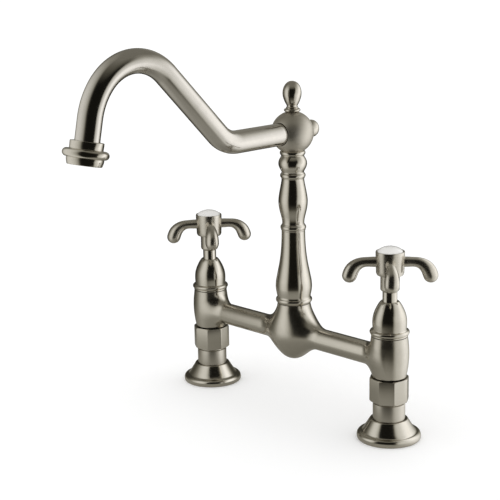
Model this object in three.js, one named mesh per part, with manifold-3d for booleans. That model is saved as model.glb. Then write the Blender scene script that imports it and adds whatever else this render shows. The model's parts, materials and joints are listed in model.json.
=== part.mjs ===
// A bridge kitchen faucet: two posts stand on the deck, a cast bridge joins their valve bodies, and a
// swivelling column in the middle of the bridge carries a swan-neck spout. Each post has a quarter-turn
// ceramic cartridge under a four-armed cross handle.
//
// Millimetres, +Z up. The deck is z = 0, the origin is midway between the posts, the posts stand on the
// X axis, and the spout reaches out towards -Y.

import * as THREE from 'three';
import { mergeVertices } from 'three/addons/utils/BufferGeometryUtils.js';
import Module from 'manifold-3d';

const wasm = await Module();
wasm.setup();

// ---------------------------------------------------------------- driving dimensions

const POST_CENTRES = 203.2;
const SEAT_GAP = 0.3;             // between pieces that rest on each other
const RUNNING_GAP = 0.3;          // round a piece that turns or slides in another

// Deck flange, a hollow cone with a rounded rim
const FLANGE_RIM_R = 25.2;
const FLANGE_RIM_H = 5.6;
const FLANGE_RIM_ARC = [-30, 70]; // degrees of the rim's rounding
const FLANGE_RIM_INSET = 0.4;     // of the foot under the rim
const FLANGE_MOUTH_DEPTH = 3;
const FLANGE_FOOT_WALL = 4;
const FLANGE_SHOULDER_R = 21.2;
const FLANGE_H = 16;
const FLANGE_MOUTH_GAP = 0.8;
const FLANGE_MOUTH_WALL = 1.2;
const FLANGE_WALL = 2.2;

// Deck gasket under the flange
const GASKET_T = 1.6;
const GASKET_LIFT = 0.4;

// Riser tube
const RISER_R = 12.7;
const RISER_BORE_R = 8;
const RISER_FOOT_Z = 1.5;
const RISER_SHOWN = 15;           // between the flange and the coupling nut

// Coupling nut and the casting's tail in it
const NUT_SIDES = 8;
const NUT_FLATS = 29.2;
const NUT_H = 19;
const NUT_LIP = 2;
const NUT_CHAMFER = 0.9;
const NUT_MOUTH_DEPTH = 1.5;
const NUT_TURN = { left: 33.9, right: 9.3 };
const TAIL_R = 11;
const TAIL_BORE_R = 7;
const SNAP_RING_T = 1.4;
const SNAP_RING_WALL = 1.7;
const SNAP_GROOVE_DEPTH = 1;
const UNION_WASHER_T = 2;

// Valve body, part of the casting
const BODY_H = 33;
const BODY_FOOT_R = 13.2;
const BODY_BELLY_R = 15.3;
const BODY_BELLY_UP = 19;
const BODY_NECK_R = 14.2;
const CHAMBER_R = 9.5;
const CHAMBER_UP = 7;             // seat above the foot of the body
const SEAT_PORT_R = 4.6;

// Bridge arms and hub, part of the casting
const ARM_R = 9;
const ARM_BORE_R = 5.5;
const ARM_UP = 14.3;              // arm axis above the foot of the body
const BODY_FILLET = 7;
const HUB_FILLET = 13;             // over the arm
const HUB_UNDER_FILLET = 5;        // under the arm
const HUB_TOP_R = 13.6;
const HUB_TOP_UP = 26;            // above the arm axis
const HUB_BELLY_R = 18.4;
const HUB_DROP = 22.2;            // hub's lowest point below the arm axis
const HUB_DROP_R = 11;
const HUB_DROP_ARC = [-90, -60, -38]; // degrees where the drop starts, meets the skirt and ends
const HUB_CHAMBER_R = 8;

// Spout column's spigot in the hub
const SPIGOT_R = 10.7;
const SPIGOT_L = 18.5;
const COLUMN_BORE_R = 6;
const SWIVEL_WASHER_R = 12.2;
const SWIVEL_WASHER_T = 1.2;
const O_RING_SECTION_R = 0.85;
const O_RING_GROOVE_W = 2.3;
const O_RING_PITCH = 5;
const RETAINER_GROOVE_UP = 3;     // above the spigot's end
const RETAINER_GROOVE_W = 2.8;
const RETAINER_GROOVE_DEPTH = 1.1;
const GRUB_SCREW_R = 2;
const GRUB_SCREW_L = 6.5;
const GRUB_POINT_R = 1.1;
const GRUB_POINT_L = 1.4;

// Spout column, from the hub up: each feature's height and radius
const FOOT_RING_H = 5;
const FOOT_RING_R = 15;
const VASE_H = 56.4;
const VASE_FOOT_R = 13.9;
const VASE_BELLY_R = 14.95;
const VASE_BELLY_UP = 9;
const VASE_NECK_R = 9.6;
const WAIST_RING_H = 4.4;
const WAIST_RING_R = 10.5;
const BALUSTER_H = 38;
const BALUSTER_FOOT_R = 9;
const BALUSTER_BELLY_R = 11.95;
const BALUSTER_BELLY_UP = 18.6;
const BALUSTER_NECK_R = 9;
const UPPER_RING_H = 4.8;
const UPPER_RING_R = 10.3;
const BULB_H = 13.6;
const BULB_R = 11.6;
const BULB_END_R = 8.9;
const TOP_RING_H = 4.6;
const TOP_RING_R = 10.4;
const COLUMN_TENON_R = 7.6;
const COLUMN_TENON_L = 5.5;

// Ball, finial and rear plug
const BALL_R = 17.2;
const BALL_WALL = 3;
const FINIAL_COLLAR_R = 6.6;
const FINIAL_COLLAR_H = 2.4;
const FINIAL_NECK_R = 4.4;
const FINIAL_NECK_H = 3;
const FINIAL_EGG_R = 7.6;
const FINIAL_EGG_H = 19.2;
const FINIAL_STUD_R = 3;
const FINIAL_STUD_L = 6;
const PLUG_R = 7.1;
const PLUG_H = 10.8;
const PLUG_DOME = 4;
const PLUG_UP = 0.8;               // above the ball's centre
const PLUG_SHANK_R = 4;
const PLUG_SHANK_L = 4.5;
const TUBE_SOCKET_DEPTH = 3.5;    // of the spout tube and the plug into the ball

// Spout tube
const TUBE_R = 9;
const TUBE_WALL = 1.8;
const SPOUT_RISE_CORNER = 73.8;   // distance from the column to the first bend's corner
const SPOUT_RISE_BEND = 28;
const SPOUT_CROWN_REACH = 159.8;  // distance from the column to the crown bend's centre
const SPOUT_CROWN_BEND = 40;
const SPOUT_CROWN_END = 48;       // degrees past level at the crown bend's end
const SPOUT_LEG_BEND = 50;
const SPOUT_TILT = 12;            // degrees off plumb at the outlet
const SPOUT_LEG_L = 20.5;

// Outlet housing, from the top down
const OUTLET_COLLAR_R = 12.4;
const OUTLET_COLLAR_H = 4.2;
const OUTLET_GROOVE_R = 11.4;
const OUTLET_GROOVE_H = 2.2;
const OUTLET_BEAD_R = 16.8;
const OUTLET_BEAD_H = 6.4;
const OUTLET_LIP_R = 13.6;
const OUTLET_LIP_H = 5;
const OUTLET_MOUTH_R = 11.8;
const AERATOR_R = 9.4;
const AERATOR_H = 6.5;
const AERATOR_HOLE_R = 1.1;
const AERATOR_HOLES = 6;
const AERATOR_WASHER_T = 1.2;

// Bonnet over the cartridge
const BONNET_RING_R = 15.45;
const BONNET_RING_H = 4.8;
const BONNET_WAIST_R = 13.1;
const BONNET_SHOULDER_R = 13.4;
const BONNET_SHOULDER_UP = 10.5;
const BONNET_TOP_R = 7.2;
const BONNET_H = 27.5;
const BONNET_WALL = 1.4;

// Stem sleeve
const SLEEVE_R = 5.7;
const SLEEVE_FOOT_R = 7;
const SLEEVE_FOOT_T = 2;
const SLEEVE_SHOWN = 8;           // above the bonnet

// Cartridge
const CAGE_R = 8.8;
const CAGE_WALL = 1.5;
const CAGE_WINDOWS = 2;
const CAGE_WINDOW_H = 5;
const CAGE_WINDOW_W = 7;
const SEAT_SEAL_T = 2.4;
const DISC_T = 2.8;
const DISC_PORT_REACH = 5.4;
const DISC_PORT_ANGLE = 70;       // degrees that each of a disc's two ports spans
const CARTRIDGE_HEX_FLATS = 19.6;
const CARTRIDGE_HEX_H = 3.6;
const CARTRIDGE_NECK_R = 8;
const CARTRIDGE_TOP_UP = 21.4;    // neck's top above the body's top
const STEM_O_RING_UP = 14;        // above the body's top

// Spindle
const SPINDLE_R = 4.3;
const SPINDLE_FOOT_T = 2.4;
const SPINDLE_BROACH_FLATS = 7;
const SPINDLE_BROACH_L = 14;
const SPINDLE_ROUND_UP = 3;       // of the round shaft into the handle
const TONGUE_W = 3;
const TONGUE_L = 9;
const TONGUE_DEPTH = 1.2;

// Cross handle
const HUB_SLEEVE_R = 7.4;         // narrow lower part of the handle's hub
const HUB_SLEEVE_H = 12.5;
const HANDLE_CUP_R = 11.2;        // wide upper part, round the index button
const HANDLE_CUP_FOOT_R = 10.6;
const HANDLE_CUP_H = 18.6;
const HANDLE_FOOT_CHAMFER = 1.4;
const HANDLE_CUP_CHAMFER = 0.9;
const HANDLE_FLOOR_T = 3;
const HANDLE_RECESS_R = 7.4;
const HANDLE_ARMS = 4;
const HANDLE_TURN = { left: 52, right: 42 };
const PAW_ROOT_UP = 22.4;         // arm's axis above the foot of the hub
const PAW_ROOT_R = 3.9;
const PAW_STRAIGHT = 20;          // arm's reach before it curves down
const PAW_REACH = 37;
const PAW_DROP = 10.6;            // centre of the bulb below the arm's axis
const PAW_WRIST_R = 4.1;
const PAW_BULB_R = 5.4;
const SCREW_HEAD_R = 3.6;
const SCREW_HEAD_T = 2.4;
const SCREW_R = 1.8;
const SCREW_L = 9;
const BUTTON_R = 9.9;
const BUTTON_DOME = 3.9;
const BUTTON_EDGE = 1.6;
const BUTTON_SPIGOT_R = 7;
const BUTTON_SPIGOT_L = 4;
const BUTTON_SEAT_DEPTH = 2;      // counterbore that the button sits in

// Facets of turned pieces
const WIDE = 18;
const FINE = 14;
const MEDIUM = 12;
const COARSE = 8;

// ---------------------------------------------------------------- heights and places

const NUT_Z = FLANGE_H + RISER_SHOWN;
const BODY_Z = NUT_Z + NUT_H + SEAT_GAP;
const BODY_TOP_Z = BODY_Z + BODY_H;
const SEAT_Z = BODY_Z + CHAMBER_UP;
const ARM_Z = BODY_Z + ARM_UP;
const HUB_TOP_Z = ARM_Z + HUB_TOP_UP;
const COLUMN_Z = HUB_TOP_Z + SEAT_GAP;
const BONNET_Z = BODY_TOP_Z + SEAT_GAP;
const BONNET_TOP_Z = BONNET_Z + BONNET_H;
const HANDLE_Z = BONNET_TOP_Z + SLEEVE_SHOWN + RUNNING_GAP;
const TAIL_L = SNAP_RING_T + SNAP_GROOVE_DEPTH + NUT_LIP + 2 * SEAT_GAP + 2.4;
const TAIL_END_Z = BODY_Z - TAIL_L;
const RISER_TOP_Z = TAIL_END_Z - UNION_WASHER_T - 2 * SEAT_GAP;
const SPIGOT_END_Z = COLUMN_Z - SPIGOT_L;
const HUB_SOCKET_Z = SPIGOT_END_Z - SEAT_GAP;
const HUB_SOCKET_R = SPIGOT_R + RUNNING_GAP;
const COLUMN_H = FOOT_RING_H + VASE_H + WAIST_RING_H + BALUSTER_H + UPPER_RING_H + BULB_H + TOP_RING_H;
const COLUMN_TOP_Z = COLUMN_Z + COLUMN_H;
const BALL_Z = COLUMN_TOP_Z + SEAT_GAP + Math.sqrt(BALL_R ** 2 - TOP_RING_R ** 2);

// ---------------------------------------------------------------- shapes

const radians = THREE.MathUtils.degToRad;
const at = (r, z) => new THREE.Vector2(r, z);

// Points of a circular arc in a profile, from one angle to another in degrees
function arc(r, z, radius, from, to, steps) {
  const points = [];
  for (let i = 0; i <= steps; i += 1) {
    const angle = radians(from + ((to - from) * i) / steps);
    points.push(at(r + radius * Math.cos(angle), z + radius * Math.sin(angle)));
  }
  return points;
}

// A half-round bead standing out of a turned piece, from its lower edge to its upper one
function bead(footR, crownR, low, high, steps) {
  const points = [];
  for (let i = 0; i <= steps; i += 1) {
    const angle = Math.PI * (i / steps - 0.5);
    points.push(at(
      footR + (crownR - footR) * Math.cos(angle),
      (low + high) / 2 + ((high - low) / 2) * Math.sin(angle),
    ));
  }
  return points;
}

// A smooth curve through the points of a profile
function smooth(points, steps) {
  return new THREE.SplineCurve(points).getPoints(steps);
}

// A piece turned about the Z axis; the profile runs up the outside, and closes on itself or on the axis
function turned(profile, sides = FINE) {
  const closed = [...profile];
  const [first, last] = [profile[0], profile[profile.length - 1]];
  if (first.x > 0 || last.x > 0) closed.push(first.clone());
  return new THREE.LatheGeometry(closed, sides).rotateX(Math.PI / 2);
}

// A ring or tube with square edges
function ring(innerR, outerR, low, high, sides = FINE) {
  return turned([at(innerR, low), at(outerR, low), at(outerR, high), at(innerR, high)], sides);
}

// A rod with square ends, standing on its lower one
function rod(radius, low, high, sides = MEDIUM) {
  return turned([at(0, low), at(radius, low), at(radius, high), at(0, high)], sides);
}

// An O-ring lying flat
function oRing(centreR, z, sides = MEDIUM) {
  return turned(arc(centreR, z, O_RING_SECTION_R, -180, 180, 6).slice(0, -1), sides);
}

// A prism standing on the deck plane, raised to its place
function prism(shape, low, high) {
  return new THREE.ExtrudeGeometry(shape, { depth: high - low, bevelEnabled: false, curveSegments: 3 })
    .translate(0, 0, low);
}

// Corners evenly spaced on a circle
function circle(radius, corners) {
  const points = [];
  for (let i = 0; i < corners; i += 1) {
    const angle = (2 * Math.PI * i) / corners;
    points.push(new THREE.Vector2(radius * Math.cos(angle), radius * Math.sin(angle)));
  }
  return points;
}

function polygon(sides, acrossFlats) {
  return new THREE.Shape(circle(acrossFlats / 2 / Math.cos(Math.PI / sides), sides));
}

// A skin through a row of closed rings, with a flat cap at each end
function loft(rings) {
  const count = rings[0].length;
  const corners = rings.flat();
  const triangles = [];
  for (let i = 0; i + 1 < rings.length; i += 1) {
    for (let j = 0; j < count; j += 1) {
      const a = i * count + j;
      const b = i * count + ((j + 1) % count);
      triangles.push(a, b, a + count, b, b + count, a + count);
    }
  }
  const lastRing = (rings.length - 1) * count;
  for (let j = 1; j + 1 < count; j += 1) {
    triangles.push(0, j + 1, j);
    triangles.push(lastRing, lastRing + j, lastRing + j + 1);
  }
  const geometry = new THREE.BufferGeometry().setFromPoints(corners);
  geometry.setIndex(triangles);
  return geometry;
}

// A closed surface as a solid that can be joined and cut
function solid(geometry) {
  const bare = geometry.clone();
  bare.deleteAttribute('normal');
  bare.deleteAttribute('uv');
  const merged = mergeVertices(bare, 1e-4);
  const corners = merged.index.array;
  const triangles = [];
  for (let i = 0; i < corners.length; i += 3) {
    const [a, b, c] = [corners[i], corners[i + 1], corners[i + 2]];
    if (a !== b && b !== c && c !== a) triangles.push(a, b, c);
  }
  return new wasm.Manifold(new wasm.Mesh({
    numProp: 3,
    vertProperties: new Float32Array(merged.attributes.position.array),
    triVerts: new Uint32Array(triangles),
  }));
}

// The surface of a solid that was joined or cut
function surface(body) {
  const mesh = body.getMesh();
  const geometry = new THREE.BufferGeometry();
  geometry.setAttribute('position', new THREE.BufferAttribute(new Float32Array(mesh.vertProperties), 3));
  geometry.setIndex(new THREE.BufferAttribute(new Uint32Array(mesh.triVerts), 1));
  return geometry;
}

// One geometry with others joined to it and others cut from it
function carved(base, { add = [], cut = [] }) {
  let body = solid(base);
  for (const piece of add) body = body.add(solid(piece));
  for (const piece of cut) body = body.subtract(solid(piece));
  return surface(body);
}

// ---------------------------------------------------------------- materials

function finish(color, roughness, metalness) {
  return new THREE.MeshStandardMaterial({ color, roughness, metalness });
}

const satinNickel = () => finish(0xa39d92, 0.32, 1);
const brass = () => finish(0xb08d4f, 0.4, 1);
const porcelain = () => finish(0xf2f1ec, 0.12, 0);
const ceramic = () => finish(0xe6e3da, 0.3, 0);
const rubber = () => finish(0x1d1d1d, 0.8, 0);
const steel = () => finish(0x9a9a98, 0.35, 1);
const plastic = () => finish(0xdedede, 0.5, 0);

const faucet = new THREE.Group();

function place(parent, name, geometry, material) {
  const mesh = new THREE.Mesh(geometry, material);
  mesh.name = name;
  parent.add(mesh);
  return mesh;
}

// ---------------------------------------------------------------- deck flange and riser

function deckFlange() {
  const mouthR = RISER_R + FLANGE_MOUTH_GAP;
  const footR = FLANGE_RIM_R - FLANGE_RIM_INSET;
  const outside = [
    at(footR, 0),
    ...arc(FLANGE_RIM_R - FLANGE_RIM_H / 2, FLANGE_RIM_H / 2, FLANGE_RIM_H / 2, ...FLANGE_RIM_ARC, 3),
    at(FLANGE_SHOULDER_R, FLANGE_RIM_H),
    at(mouthR + FLANGE_MOUTH_WALL, FLANGE_H),
  ];
  const inside = [
    at(mouthR, FLANGE_H),
    at(mouthR, FLANGE_H - FLANGE_MOUTH_DEPTH),
    at(FLANGE_SHOULDER_R - FLANGE_WALL, FLANGE_RIM_H),
    at(footR - FLANGE_FOOT_WALL, FLANGE_RIM_H - FLANGE_WALL),
    at(footR - FLANGE_FOOT_WALL, 0),
  ];
  return turned([...outside, ...inside], WIDE);
}

function deckGasket() {
  const outerR = FLANGE_RIM_R - FLANGE_RIM_INSET - FLANGE_FOOT_WALL - 2 * SEAT_GAP;
  return ring(RISER_R + SEAT_GAP, outerR, GASKET_LIFT, GASKET_LIFT + GASKET_T);
}

function riser() {
  return turned([
    at(RISER_BORE_R, RISER_FOOT_Z),
    at(RISER_R, RISER_FOOT_Z),
    at(RISER_R, RISER_TOP_Z),
    at(RISER_BORE_R, RISER_TOP_Z),
  ], FINE);
}

// ---------------------------------------------------------------- coupling

// The octagon's corners are taken off by a cone at each end; a lip holds the nut up on the snap ring
function couplingNut(turn) {
  const blank = prism(polygon(NUT_SIDES, NUT_FLATS), 0, NUT_H).rotateZ(radians(turn - 90));
  const cornerR = NUT_FLATS / 2 / Math.cos(Math.PI / NUT_SIDES);
  const faceR = NUT_FLATS / 2 - 0.2;
  const envelope = turned([
    at(0, 0),
    at(faceR, 0),
    at(cornerR + 0.1, NUT_CHAMFER),
    at(cornerR + 0.1, NUT_H - NUT_CHAMFER),
    at(faceR, NUT_H),
    at(0, NUT_H),
  ], FINE);
  const threadR = RISER_R + SEAT_GAP;
  const bore = turned([
    at(0, -1),
    at(threadR + 0.6, -1),
    at(threadR + 0.6, NUT_MOUTH_DEPTH - 0.6),
    at(threadR, NUT_MOUTH_DEPTH),
    at(threadR, NUT_H - NUT_LIP),
    at(TAIL_R + SEAT_GAP, NUT_H - NUT_LIP),
    at(TAIL_R + SEAT_GAP, NUT_H + 1),
    at(0, NUT_H + 1),
  ], FINE);
  return surface(solid(blank).intersect(solid(envelope)).subtract(solid(bore))).translate(0, 0, NUT_Z);
}

const SNAP_RING_Z = BODY_Z - SEAT_GAP - NUT_LIP - SEAT_GAP - SNAP_RING_T;

function snapRing() {
  const innerR = TAIL_R - SNAP_GROOVE_DEPTH + RUNNING_GAP;
  const whole = ring(innerR, innerR + SNAP_RING_WALL, SNAP_RING_Z, SNAP_RING_Z + SNAP_RING_T);
  const gap = new THREE.BoxGeometry(SNAP_RING_WALL * 4, 3, SNAP_RING_T * 3).translate(TAIL_R, 0, SNAP_RING_Z);
  return carved(whole, { cut: [gap] });
}

function unionWasher() {
  const low = RISER_TOP_Z + SEAT_GAP;
  return ring(RISER_BORE_R, RISER_R - SEAT_GAP, low, low + UNION_WASHER_T);
}

// ---------------------------------------------------------------- bridge casting

// Valve body with the tail that the coupling nut turns on
function valveBody() {
  const ringLow = SNAP_RING_Z - RUNNING_GAP;
  const ringHigh = SNAP_RING_Z + SNAP_RING_T + RUNNING_GAP;
  const belly = smooth([
    at(BODY_FOOT_R, BODY_Z),
    at(BODY_FOOT_R + (BODY_BELLY_R - BODY_FOOT_R) * 0.8, BODY_Z + BODY_BELLY_UP * 0.6),
    at(BODY_BELLY_R, BODY_Z + BODY_BELLY_UP),
    at(BODY_BELLY_R - 0.3, BODY_Z + BODY_BELLY_UP + 6),
    at(BODY_NECK_R, BODY_TOP_Z),
  ], 5);
  return turned([
    at(0, TAIL_END_Z),
    at(TAIL_R, TAIL_END_Z),
    at(TAIL_R, ringLow),
    at(TAIL_R - SNAP_GROOVE_DEPTH, ringLow),
    at(TAIL_R - SNAP_GROOVE_DEPTH, ringHigh),
    at(TAIL_R, ringHigh),
    at(TAIL_R, BODY_Z),
    ...belly,
    at(0, BODY_TOP_Z),
  ], FINE);
}

// Waterway through a valve body: inlet, seat port and the chamber that the cartridge stands in
function valveWaterway() {
  return turned([
    at(0, TAIL_END_Z - 1),
    at(TAIL_BORE_R, TAIL_END_Z - 1),
    at(TAIL_BORE_R, SEAT_Z - 3.5),
    at(SEAT_PORT_R, SEAT_Z - 2),
    at(SEAT_PORT_R, SEAT_Z),
    at(CHAMBER_R, SEAT_Z),
    at(CHAMBER_R, BODY_TOP_Z + 1),
    at(0, BODY_TOP_Z + 1),
  ], FINE);
}

// Half width and half height of an arm's section where it flares into a round body
function flare(distance, fillet) {
  if (distance >= fillet) return 0;
  return fillet - Math.sqrt(fillet ** 2 - (fillet - distance) ** 2);
}

// One arm from the hub to a valve body, flared at both ends where the casting is filleted
function bridgeArm() {
  const start = HUB_BELLY_R - 8;
  const hubFace = HUB_BELLY_R - 3.5;
  const bodyFace = POST_CENTRES / 2 - BODY_BELLY_R + 1.5;
  const end = POST_CENTRES / 2 - 8;
  const stations = [start, hubFace + 0.4, hubFace + 2.2, hubFace + 6, hubFace + HUB_FILLET,
    bodyFace - BODY_FILLET, bodyFace - 3, bodyFace - 0.4, end];
  const sides = 12;
  const rings = stations.map((x) => {
    const fromHub = Math.max(x - hubFace, 0.4);
    const bodySide = flare(Math.max(bodyFace - x, 0.4), BODY_FILLET);
    const over = ARM_R + (flare(fromHub, HUB_FILLET) + bodySide) * 0.8;
    const under = ARM_R + (flare(fromHub, HUB_UNDER_FILLET) + bodySide) * 0.8;
    const width = ARM_R + (flare(fromHub, HUB_UNDER_FILLET) + bodySide) * 0.3;
    const points = [];
    for (let i = 0; i < sides; i += 1) {
      const angle = (2 * Math.PI * i) / sides;
      const height = Math.sin(angle) > 0 ? over : under;
      points.push(new THREE.Vector3(x, width * Math.cos(angle), ARM_Z + height * Math.sin(angle)));
    }
    return points;
  });
  return loft(rings);
}

// Drop-shaped hub in the middle of the bridge
function bridgeHub() {
  const bottomZ = ARM_Z - HUB_DROP;
  const [dropStart, skirtStart, dropEnd] = HUB_DROP_ARC;
  const skirt = smooth([
    ...arc(0, bottomZ + HUB_DROP_R, HUB_DROP_R, skirtStart, dropEnd, 1),
    at(HUB_BELLY_R - 2.3, ARM_Z - 10),
    at(HUB_BELLY_R, ARM_Z - 1),
    at(HUB_BELLY_R - 1.3, ARM_Z + 12),
    at(HUB_TOP_R + 0.6, HUB_TOP_Z - 5),
    at(HUB_TOP_R, HUB_TOP_Z),
  ], 9);
  return turned([
    ...arc(0, bottomZ + HUB_DROP_R, HUB_DROP_R, dropStart, skirtStart, 2).slice(0, -1),
    ...skirt,
    at(0, HUB_TOP_Z),
  ], FINE);
}

// Mixing chamber, socket for the spigot and counterbore for the swivel washer
function hubSocket() {
  const washerSeatZ = HUB_TOP_Z - SWIVEL_WASHER_T - SEAT_GAP;
  const washerSeatR = SWIVEL_WASHER_R + RUNNING_GAP;
  return turned([
    at(0, ARM_Z - HUB_CHAMBER_R),
    at(HUB_CHAMBER_R, ARM_Z - HUB_CHAMBER_R),
    at(HUB_CHAMBER_R, HUB_SOCKET_Z),
    at(HUB_SOCKET_R, HUB_SOCKET_Z),
    at(HUB_SOCKET_R, washerSeatZ),
    at(washerSeatR, washerSeatZ),
    at(washerSeatR, HUB_TOP_Z + 1),
    at(0, HUB_TOP_Z + 1),
  ], FINE);
}

const GRUB_SCREW_Z = SPIGOT_END_Z + RETAINER_GROOVE_UP + RETAINER_GROOVE_W / 2;
const GRUB_SCREW_TIP_Y = SPIGOT_R - RETAINER_GROOVE_DEPTH + SEAT_GAP;

// Along Y from the spigot's groove to the back of the hub
function backwards(geometry) {
  return geometry.rotateX(-Math.PI / 2);
}

function grubScrewHole() {
  return backwards(rod(GRUB_SCREW_R + SEAT_GAP, HUB_SOCKET_R - 2, HUB_BELLY_R + 5, COARSE))
    .translate(0, 0, GRUB_SCREW_Z);
}

function grubScrew() {
  const screw = backwards(turned([
    at(0, GRUB_SCREW_TIP_Y),
    at(GRUB_POINT_R, GRUB_SCREW_TIP_Y),
    at(GRUB_POINT_R, GRUB_SCREW_TIP_Y + GRUB_POINT_L),
    at(GRUB_SCREW_R, GRUB_SCREW_TIP_Y + GRUB_POINT_L),
    at(GRUB_SCREW_R, GRUB_SCREW_TIP_Y + GRUB_SCREW_L),
    at(0, GRUB_SCREW_TIP_Y + GRUB_SCREW_L),
  ], COARSE));
  const keyway = backwards(prism(polygon(6, GRUB_SCREW_R), 0, 4))
    .translate(0, GRUB_SCREW_TIP_Y + GRUB_SCREW_L - 2, 0);
  return carved(screw, { cut: [keyway] }).translate(0, 0, GRUB_SCREW_Z);
}

function bridgeBody() {
  const add = [];
  const cut = [hubSocket(), grubScrewHole()];
  for (const side of [-1, 1]) {
    const postX = (side * POST_CENTRES) / 2;
    const turn = side > 0 ? 0 : Math.PI;
    const arm = bridgeArm().rotateZ(turn);
    const armBore = rod(ARM_BORE_R, 0, POST_CENTRES / 2, COARSE).rotateY(Math.PI / 2).translate(0, 0, ARM_Z)
      .rotateZ(turn);
    add.push(valveBody().translate(postX, 0, 0), arm);
    cut.push(valveWaterway().translate(postX, 0, 0), armBore);
  }
  return carved(bridgeHub(), { add, cut });
}

// ---------------------------------------------------------------- spout column

const lowerRingZ = SPIGOT_END_Z + RETAINER_GROOVE_UP + RETAINER_GROOVE_W + 1.2 + O_RING_GROOVE_W / 2;
const SPIGOT_O_RING_Z = [lowerRingZ, lowerRingZ + O_RING_PITCH];
const O_RING_CENTRE_R = SPIGOT_R - O_RING_SECTION_R;
const O_RING_GROOVE_R = SPIGOT_R - 2 * O_RING_SECTION_R - SEAT_GAP;

function groove(depthR, low, high) {
  return [at(SPIGOT_R, low), at(depthR, low), at(depthR, high), at(SPIGOT_R, high)];
}

function spoutColumn() {
  const retainerZ = SPIGOT_END_Z + RETAINER_GROOVE_UP;
  const halfGroove = O_RING_GROOVE_W / 2;
  const spigot = [
    at(COLUMN_BORE_R, SPIGOT_END_Z),
    at(SPIGOT_R, SPIGOT_END_Z),
    ...groove(SPIGOT_R - RETAINER_GROOVE_DEPTH, retainerZ, retainerZ + RETAINER_GROOVE_W),
    ...SPIGOT_O_RING_Z.flatMap((z) => groove(O_RING_GROOVE_R, z - halfGroove, z + halfGroove)),
    at(SPIGOT_R, COLUMN_Z),
  ];
  const vaseZ = COLUMN_Z + FOOT_RING_H;
  const waistZ = vaseZ + VASE_H;
  const balusterZ = waistZ + WAIST_RING_H;
  const upperZ = balusterZ + BALUSTER_H;
  const bulbZ = upperZ + UPPER_RING_H;
  const topRingZ = bulbZ + BULB_H;
  const vase = smooth([
    at(VASE_FOOT_R, vaseZ),
    at(VASE_BELLY_R, vaseZ + VASE_BELLY_UP),
    at(VASE_BELLY_R - 1.2, vaseZ + VASE_BELLY_UP + 8.5),
    at(VASE_NECK_R + 2.1, vaseZ + VASE_BELLY_UP + 20),
    at(VASE_NECK_R + 0.5, waistZ - 14),
    at(VASE_NECK_R, waistZ),
  ], 8);
  const baluster = smooth([
    at(BALUSTER_FOOT_R, balusterZ),
    at(BALUSTER_BELLY_R - 1.1, balusterZ + BALUSTER_BELLY_UP * 0.5),
    at(BALUSTER_BELLY_R, balusterZ + BALUSTER_BELLY_UP),
    at(BALUSTER_BELLY_R - 0.9, upperZ - 11),
    at(BALUSTER_NECK_R, upperZ),
  ], 7);
  return turned([
    ...spigot,
    ...bead(VASE_FOOT_R, FOOT_RING_R, COLUMN_Z, vaseZ, 4),
    ...vase.slice(1),
    ...bead(VASE_NECK_R, WAIST_RING_R, waistZ, balusterZ, 3).slice(1, -1),
    ...baluster,
    ...bead(BALUSTER_NECK_R, UPPER_RING_R, upperZ, bulbZ, 3).slice(1, -1),
    ...bead(BULB_END_R, BULB_R, bulbZ, topRingZ, 6),
    ...bead(BULB_END_R, TOP_RING_R, topRingZ, COLUMN_TOP_Z, 3).slice(1),
    at(COLUMN_TENON_R, COLUMN_TOP_Z),
    at(COLUMN_TENON_R, COLUMN_TOP_Z + COLUMN_TENON_L),
    at(COLUMN_BORE_R, COLUMN_TOP_Z + COLUMN_TENON_L),
  ], FINE);
}

function swivelWasher() {
  const low = HUB_TOP_Z - SWIVEL_WASHER_T;
  return ring(HUB_SOCKET_R, SWIVEL_WASHER_R, low, low + SWIVEL_WASHER_T - RUNNING_GAP / 3, FINE);
}

// ---------------------------------------------------------------- ball, finial and plug

const FINIAL_SEAT_Z = BALL_Z + Math.sqrt(BALL_R ** 2 - (FINIAL_COLLAR_R - 1.2) ** 2);
const PLUG_SEAT_Y = Math.sqrt(BALL_R ** 2 - (PLUG_R - 1.2) ** 2);
const TUBE_START = Math.sqrt(BALL_R ** 2 - TUBE_R ** 2) - TUBE_SOCKET_DEPTH;

function spoutBall() {
  const outer = turned(arc(0, 0, BALL_R, -90, 90, 9), WIDE);
  const hollow = turned(arc(0, 0, BALL_R - BALL_WALL, -90, 90, 6), COARSE);
  const columnHole = rod(COLUMN_TENON_R + SEAT_GAP, -BALL_R, -BALL_R / 2);
  const underside = rod(TOP_RING_R + 1, -BALL_R - 1, COLUMN_TOP_Z + SEAT_GAP - BALL_Z);
  const finialHole = rod(FINIAL_STUD_R + SEAT_GAP, BALL_R / 2, BALL_R + 1, COARSE);
  const finialSeat = rod(FINIAL_COLLAR_R + 1, FINIAL_SEAT_Z - BALL_Z, BALL_R + 1);
  const tubeHole = backwards(rod(TUBE_R + SEAT_GAP, -BALL_R - 1, -BALL_R / 2));
  const plugHole = backwards(rod(PLUG_SHANK_R + SEAT_GAP, BALL_R / 2, BALL_R + 1, COARSE))
    .translate(0, 0, PLUG_UP);
  const plugSeat = backwards(rod(PLUG_R + 1, PLUG_SEAT_Y, BALL_R + 1)).translate(0, 0, PLUG_UP);
  return carved(outer, {
    cut: [hollow, columnHole, underside, finialHole, finialSeat, tubeHole, plugHole, plugSeat],
  }).translate(0, 0, BALL_Z);
}

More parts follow.
